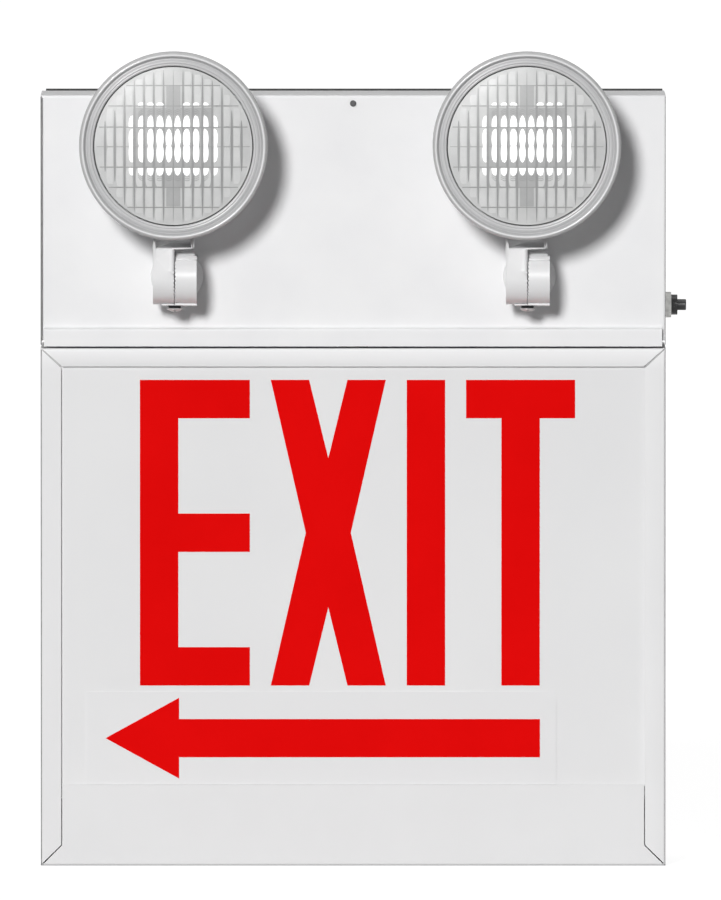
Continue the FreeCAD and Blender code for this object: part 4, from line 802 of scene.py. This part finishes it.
def paintLensReflections(side):
    # the painted pattern of reflections, glints and shade lies just under the lens's domed front; sizes here are in
    # millimetres from the lamp's axis
    node = side + "_lamp_lens"
    centre, crown = middle(node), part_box(node)[0].y
    curve = lens["curve"]
    kinds = ("pressedLight", "pressedGrey", "pressedDark", "pressedBright", "pressedOpen")
    sheet = bmesh.new()

    def patch(rows, depth, kind, across=1):
        # a strip of faces through rows of (level, from, to)
        before = None
        for level, start, end in rows:
            line = []
            for step in range(across + 1):
                x = (start + (end - start) * step / across) / 1000
                z = level / 1000
                under = crown + depth / 1000 + (x * x + z * z) / (2 * curve)
                line.append(sheet.verts.new((centre.x + x, under, centre.z + z)))
            for step in range(across if before else 0):
                face = sheet.faces.new((before[step], before[step + 1], line[step + 1], line[step]))
                face.material_index = kinds.index(kind)
            before = line

    def chord(level, radius):
        return math.sqrt(max(radius * radius - level * level, 0.01))

    def swell(t, power=2.2):
        return max(1 - abs(t) ** power, 0.0) ** (1 / power)

    radius = lens["radius"]
    levels = [radius * math.sin(math.radians(a)) for a in range(-90, 91, 3)]
    patch([(v, -chord(v, radius), chord(v, radius)) for v in levels], lens["discDepth"], "pressedLight", 48)
    # painted grey reflection between the bright fields, and the band above and below it
    grey, stripe = lens["greyHalf"], lens["stripeHalf"]
    patch([(v / 2, -grey, grey) for v in range(-54, 54, 3)], lens["greyDepth"], "pressedGrey", 24)
    patch([(v / 2, -stripe, stripe) for v in range(-80, 81, 4)], lens["stripeDepth"], "pressedGrey", 4)
    # painted shade along the edges of the flutes
    for count in range(-7, 8):
        at = count * lens["flute"]
        reach = chord(at, radius - 1.2) * (1.0 if abs(count) < 6 else 0.72)
        thick = lens["middleEdgeHalf"] if count == 0 else lens["edgeHalf"]
        patch([(reach * t / 16, at - thick * swell(t / 16, 2.0), at + thick * swell(t / 16, 2.0))
               for t in range(-16, 17)], lens["edgeDepth"], "pressedDark")
    # open fields of lighter painted reflection
    edges = sorted((*lens["bars"], -radius, radius))
    for way in (-1, 1):
        for number in range(8):
            start = number * lens["flute"] + lens["openNear"]
            end = (number + 1) * lens["flute"] - lens["openFar"]
            for low, high in zip(edges, edges[1:]):
                if number < 5 and -20 < (low + high) / 2 < 20 or number < 1:
                    continue
                rim = chord(end, radius - 1.5)
                top, bottom = min(high - lens["openGap"], rim), max(low + lens["openGap"], -rim)
                if top - bottom < lens["openLeast"] or end > radius - 4:
                    continue
                rise, half, waist = (top + bottom) / 2, (top - bottom) / 2, lens["openWaist"]
                rows = []
                for t in range(-6, 7):
                    reach = start + (end - start) * (waist + (1 - waist) * swell(t / 6, 2.0))
                    rows.append((rise + half * t / 6, *sorted((way * start, way * reach))))
                patch(rows, lens["openDepth"], "pressedOpen")
    # painted shade along the level bars
    for level in lens["bars"]:
        half = lens["middleBarHalf"] if abs(level) < 1 else lens["barHalf"]
        reach = chord(level, radius - 1.6)
        patch([(level + edge * half, -reach, reach) for edge in (-1, 1)], lens["barDepth"], "pressedDark", 30)
    # painted glints over the bulb, glowing, and the painted dark ripples above and below them
    for way in (-1, 1):
        for number, (inner, wide, peak) in enumerate(lens["columns"]):

            def field(level, share):
                low = inner + wide * (1 - share) * peak
                high = inner + wide - wide * (1 - share) * (1 - peak)
                return (level, *sorted((way * low, way * high)))

            power = 1.8 if number == 0 else 2.4
            for level, high, turn, first, last in lens["rows"]:
                if first <= number <= last:
                    patch([field(level + turn * high * t / 10, swell(t / 10, power)) for t in range(10)]
                          + [field(level + turn * high, lens["tip"])], lens["brightDepth"], "pressedBright")
                for ripple in range(1, 4):
                    if number < 4 and high > 3:
                        top = level + turn * (high + ripple * lens["ripplePitch"])
                        line = [(inner + wide * t / 8, top - turn * lens["rippleDrop"] * abs(t / 8 - peak) ** 1.5)
                                for t in range(9)]
                        for (u0, v0), (u1, v1) in zip(line, line[1:]):
                            thin = lens["rippleLine"]
                            corners = [(u0, v0), (u1, v1), (u1, v1 + thin), (u0, v0 + thin)]
                            verts = [sheet.verts.new((centre.x + way * u / 1000,
                                                      crown + lens["rippleDepth"] / 1000 + (u * u + v * v) / (2 * curve * 1e6),
                                                      centre.z + v / 1000)) for u, v in corners]
                            face = sheet.faces.new(verts)
                            face.material_index = kinds.index("pressedDark")
            for level, high in lens["swells"]:
                patch([field(level + high * t / 12, max(swell(t / 12, power), lens["tip"])) for t in range(-12, 13)],
                      lens["brightDepth"] if level > 0 else lens["lowSwellDepth"], "pressedBright")
    mesh = bpy.data.meshes.new(side + "LensPattern")
    sheet.normal_update()
    for face in sheet.faces:
        if face.normal.y > 0:
            face.normal_flip()
    sheet.to_mesh(mesh)
    sheet.free()
    piece = bpy.data.objects.new(side + "LensPattern", mesh)
    bpy.context.scene.collection.objects.link(piece)
    settle(piece, side + "LensPattern", kinds, nodes[node]["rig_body"])


for side in ("left", "right"):
    turnRing(side)
    paintLensReflections(side)
print("rings and lens patterns")

# ---- sheet steel and plastic shells, from the frame's own solids

for node in ("back_pan", "sign_housing", "upper_cover", "left_head_base", "right_head_base", "left_lamp_shell",
             "right_lamp_shell", "left_lamp_lens", "right_lamp_lens", "left_reflector", "right_reflector",
             "switch_nut", "switch_collar", "test_button"):
    words = node.split("_")
    refine(node, words[0] + "".join(word.title() for word in words[1:]),
           "signWhite" if node == "sign_housing" else None)
print("refined shells")


clampHead = 0.0023


def shadeCollar(side):
    # painted shade: everything above the clamp screw's bright head is given black oxide, standing in for the saddle's
    # shade over it
    piece = refine(side + "_clamp_screw", side + "ClampScrew", ("clampSteel", "black_oxide"))
    low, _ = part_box(side + "_clamp_screw")
    for face in piece.data.polygons:
        if face.center.z > low.z + clampHead:
            face.material_index = 1


shadeCollar("left")
shadeCollar("right")
print("clamp screws")


mitre = {
    # from the corner, across and down, to the strip's two ends
    "acrossStart": 0.0008,
    "downStart": 0.0010,
    "acrossEnd": 0.0134,
    "downEnd": 0.0118,
    "depth": 0.00085,
    "half": 0.0007,
}


def backMitres():
    # grey strips just behind the mitred corners, their grey a painted shade for the open lines, so that they read as
    # shallow
    low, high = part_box("sign_housing")
    corners = (("leftMitre", low.x, 1), ("rightMitre", high.x, -1))
    for name, edge, way in corners:
        mesh = bpy.data.meshes.new(name)
        strip = bmesh.new()
        depth, wide = low.y + mitre["depth"], mitre["half"]
        run = [(edge + way * mitre["acrossStart"], high.z - mitre["downStart"]),
               (edge + way * mitre["acrossEnd"], high.z - mitre["downEnd"])]
        verts = [strip.verts.new((x + way * offset, depth, z + offset)) for x, z in run for offset in (-wide, wide)]
        face = strip.faces.new((verts[0], verts[1], verts[3], verts[2]))
        if face.normal.y > 0:
            face.normal_flip()
        strip.to_mesh(mesh)
        strip.free()
        piece = bpy.data.objects.new(name, mesh)
        bpy.context.scene.collection.objects.link(piece)
        settle(piece, name, "slitGrey", "case")


backMitres()

seal = {"leftInset": 0.0026, "rightInset": 0.0012, "off": 0.001, "down": 0.0009, "deep": 0.0019, "high": 0.0044}


def layShadeSeal():
    # a dark foam strip at the wall, just in sight along the top, its black a painted shade line for the gap there
    low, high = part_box("upper_cover")
    left, right = low.x + seal["leftInset"], high.x - seal["rightInset"]
    bpy.ops.mesh.primitive_cube_add(size=1, location=((left + right) / 2, -seal["off"], high.z - seal["down"]))
    strip = bpy.context.object
    strip.scale = (right - left, seal["deep"], seal["high"])
    settle(strip, "foamSeal", "rubber_black", "case")


layShadeSeal()
print("foam seal")

edgeLine = {"fromTop": 0.0008, "fromFoot": 0.0012, "deep": 0.0006, "proud": 0.00005, "aside": 0.00002}
edgeLines = (
    # node, name, side, width of the line, finish
    ("upper_cover", "coverLeftEdge", -1, 0.00075, "edgeDark"),
    ("upper_cover", "coverRightEdge", 1, 0.0005, "edgeGrey"),
    ("sign_housing", "signLeftEdge", -1, 0.0006, "edgeGrey"),
    ("sign_housing", "signRightEdge", 1, 0.0004, "edgeGrey"),
)


def showEdge(node, name, side, width, finish):
    # a thin dark line down one side of the front, at the sheet's edge
    low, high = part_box(node)
    edge = low.x if side < 0 else high.x
    top, bottom, depth = high.z - edgeLine["fromTop"], low.z + edgeLine["fromFoot"], edgeLine["deep"]
    front = low.y - edgeLine["proud"] + (0.00001 if node == "sign_housing" else 0)
    middleOf = (edge - side * (width / 2 + edgeLine["aside"]), front + depth / 2, (top + bottom) / 2)
    bpy.ops.mesh.primitive_cube_add(size=1, location=middleOf)
    strip = bpy.context.object
    strip.scale = (width, depth, top - bottom)
    settle(strip, name, finish, "case")


for line in edgeLines:
    showEdge(*line)
print("bare edges")
